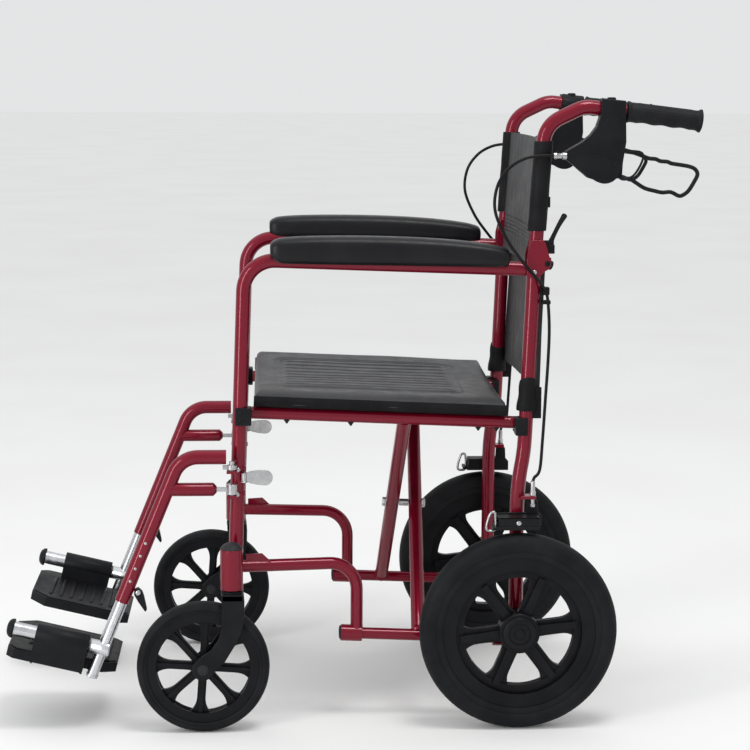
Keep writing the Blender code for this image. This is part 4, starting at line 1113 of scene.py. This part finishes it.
def seat_binding_and_shade(side, s, middle_u):
    """Black binding over the seat's edge and down to its rail, creased along its length. It is made broad
    and dark as painted shade where the seat's rolled edge turns under and meets the rail.
    """
    rings = []
    for k in range(65):
        along = middle_u + (SEAT_HALF_LENGTH + 0.0006) * (2 * k / 64 - 1)
        ring = []
        for i in range(15):
            a = math.radians(16 - 96 * i / 14)
            bulge = 0.06 * noise.noise(Vector((along * 26, 2.2 * a, s)))
            crease = 1 - 0.045 * math.sin(3 * a + 0.6) ** 2 + bulge
            ring.append((0.199 + 0.0158 * crease * math.cos(a), 0.025 + 0.0148 * crease * math.sin(a)))
        ring += [(0.199, 0.014), (0.206, 0.028)]
        rings.append([on_slope(s * x, along, RAIL_H + lift) for x, lift in ring])
    work = bmesh.new()
    skin(work, rings)
    piece("seat_binding_and_shade_" + side, work, "edging_and_shade", "brace_b" if s > 0 else "brace_a", smooth=60)


SAG = 0.01  # how far the back's slings hang behind their posts' line
PLEAT_PITCH = 0.03
CHANNEL_PITCH = 0.0062
CHANNELS = (0.728, 0.759)


def face_offset(x, z):
    """How far a back sling's padded front face stands behind the line between its posts."""
    inside = ease((0.19 - abs(x)) / 0.02)
    pleat = 0.0007 * abs(math.cos(math.pi * x / PLEAT_PITCH)) ** 0.6
    channel = 0.0
    if CHANNELS[0] < z < CHANNELS[1]:
        channel = groove((z - CHANNELS[0]) % CHANNEL_PITCH - CHANNEL_PITCH / 2, 0.0013, 0.0018)
    ripple = 0.0014 * noise.noise(Vector((x * 11, z * 9, 2.0)))
    return SAG * (1 - (x / SIDE_X) ** 2) - (pleat + channel) * inside - ripple


def sling(name, levels, front_of, half, thickness, body, node):
    """A padded sling between the posts, as rings round it from bottom to top."""
    count = 120
    rings = []
    for z in levels:
        places = (half * (1 - 2 * i / count) for i in range(count + 1))
        front = [(x, front_of(z) + face_offset(x, z)) for x in places]
        ring = front + [(x, y + thickness) for x, y in front[::-1]]
        rings.append([place(x, y, z) for x, y in ring])
    work = bmesh.new()
    skin(work, rings)
    panel = piece(name, work, "back_cloth", body, [node], smooth=70)
    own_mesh(panel)


def back_sleeve(side, s, levels, radius):
    """The pocket at the upper sling's edge, round its cane, in the dark edging cloth: painted shade, darker
    than the sling's own cloth.
    """
    rings = []
    for z in levels:
        ring = []
        for a in round_angles(40):
            ripple = 0.0005 * noise.noise(Vector((2 * math.cos(a), 2 * math.sin(a), z * 40 + s)))
            r = radius + ripple
            ring.append(place(s * SIDE_X + r * math.cos(a), cane_behind(z) + r * math.sin(a), z))
        rings.append(ring)
    work = bmesh.new()
    skin(work, rings)
    side_piece(side, "back_sleeve", work, "edging_and_shade", "back", smooth=70)
    work = bmesh.new()
    back = cane_behind(0.804) + radius
    brick(work, place(s * SIDE_X - 0.005, back - 0.002, 0.796),
          place(s * SIDE_X + 0.005, back + 0.0024, 0.812))
    side_piece(side, "sleeve_clip", work, "plastic", "back", bevel=0.001)


def steps_between(low, high, step):
    count = max(2, round((high - low) / step))
    return [low + (high - low) * i / count for i in range(count + 1)]


def backs():
    """The upper sling with its sleeves and its lower flap, the lower sling, and the posts' wraps."""
    sleeve = 0.0142
    recess = 0.0095 - sleeve
    upper_levels = steps_between(0.761, 0.895, 0.0022)
    apron_levels = steps_between(0.699, 0.764, 0.0011)
    lower_levels = steps_between(0.505, 0.703, 0.003)
    sling("back_upper_look", upper_levels, lambda z: cane_behind(z) + recess, 0.203, 0.006, "back_left",
          "back_upper")
    sling("back_apron_look", apron_levels, lambda z: cane_behind(z) + recess + 0.0004, 0.193, 0.0052,
          "back_left", "back_upper")
    sling("back_lower_look", lower_levels, lambda z: rear_post_behind(z) + 0.0118, SIDE_X, 0.006,
          "frame_left", "back_lower")
    for side, s in SIDES.items():
        back_sleeve(side, s, upper_levels, sleeve)
        corner_wrap(side, s)


def corner_wrap(side, s):
    """Black cloth round the foot of the rear post, rising to a point on its outer side."""
    work = bmesh.new()
    rings = []
    for k in range(13):
        t = k / 12
        ring = []
        for a in round_angles(32):
            rise = 0.5 + 0.5 * math.cos(a)
            z = 0.487 + t * (0.04 + 0.012 * rise)
            swell = 0.0155 - 0.003 * t + 0.0006 * math.sin(3 * math.pi * t)
            behind = rear_post_behind(z) + swell * math.sin(a)
            ring.append(place(s * (SIDE_X + swell * math.cos(a)), behind, z))
        rings.append(ring)
    skin(work, rings)
    brick(work, place(s * 0.216, 0.018, 0.475), place(s * 0.22, 0.0345, 0.523))
    side_piece(side, "corner_wrap", work, "edging_and_shade", "frame", bevel=0.0008)


# ---- surroundings
def floor():
    work = bmesh.new()
    brick(work, Vector((-40, -40, -0.02)), Vector((40, 40, 0)))
    finish, tree, node = shader("pale_floor", (0.83, 0.83, 0.825), 1.0, Specular_IOR_Level=0.0)
    patches = noise_field(tree, coordinates(tree), 1.5)
    shade(tree, node, patches, (0.815, 0.813, 0.805), (0.84, 0.84, 0.836))
    mesh_object("floor", work, finish)


def area_light(name, place_at, aim, width, height, power):
    data = bpy.data.lights.new(name, "AREA")
    data.shape = "RECTANGLE"
    data.size = width
    data.size_y = height
    data.energy = power
    made = add_object(name, data)
    made.location = place_at
    made.rotation_euler = (Vector(aim) - Vector(place_at)).to_track_quat("-Z", "Y").to_euler()


def studio():
    world = bpy.data.worlds.new("studio")
    world.use_nodes = True
    sky = world.node_tree.nodes["Background"]
    sky.inputs["Color"].default_value = (0.86, 0.87, 0.875, 1.0)
    sky.inputs["Strength"].default_value = 0.9
    bpy.context.scene.world = world
    area_light("overhead", (0.9, 0.5, 3.2), (0, 0, 0.4), 0.9, 0.9, 30)
    area_light("window", (2.4, -2.4, 1.3), (0, 0, 1.1), 0.7, 2.5, 46)
    skylight = bpy.data.lights.new("skylight", "SUN")
    skylight.energy = 0.42
    skylight.angle = math.radians(70)
    hung = add_object("skylight", skylight)
    hung.rotation_euler = (math.radians(14), math.radians(-10), 0)
    bpy.context.scene.view_settings.view_transform = "Standard"


def camera():
    """Seen from the chair's left, a little above the seat, almost square to its side."""
    eye = place(3.43978, -0.38372, 1.01162)
    yaw, pitch, roll = 0.0509983, 0.1444335, 0.0041675
    ahead = Vector((-math.cos(yaw) * math.cos(pitch), math.sin(yaw) * math.cos(pitch), -math.sin(pitch)))
    right = Vector((math.sin(yaw), math.cos(yaw), 0))
    up = right.cross(ahead)
    across = math.cos(roll) * right + math.sin(roll) * up
    upward = -math.sin(roll) * right + math.cos(roll) * up
    data = bpy.data.cameras.new("camera")
    data.lens = 103.33
    data.sensor_width = 36.0
    made = add_object("camera", data)
    turn = Matrix((across, upward, -ahead)).transposed().to_4x4()
    made.matrix_world = Matrix.Translation(eye) @ turn
    bpy.context.scene.camera = made


def main():
    for side, s in SIDES.items():
        for build in (front_tube, lower_tube, rear_post, arm_pad, saddles, fold_bracket, brake_parts,
                      rear_wheel, caster, hanger, latch, footrest, footplate, cane, grip, housing, lever,
                      release, cables):
            build(side, s)
    cross_brace("a", 1.0, BRACE_A_U)
    cross_brace("b", -1.0, BRACE_B_U)
    centre_bolt()
    seat()
    backs()
    floor()
    studio()
    camera()


main()
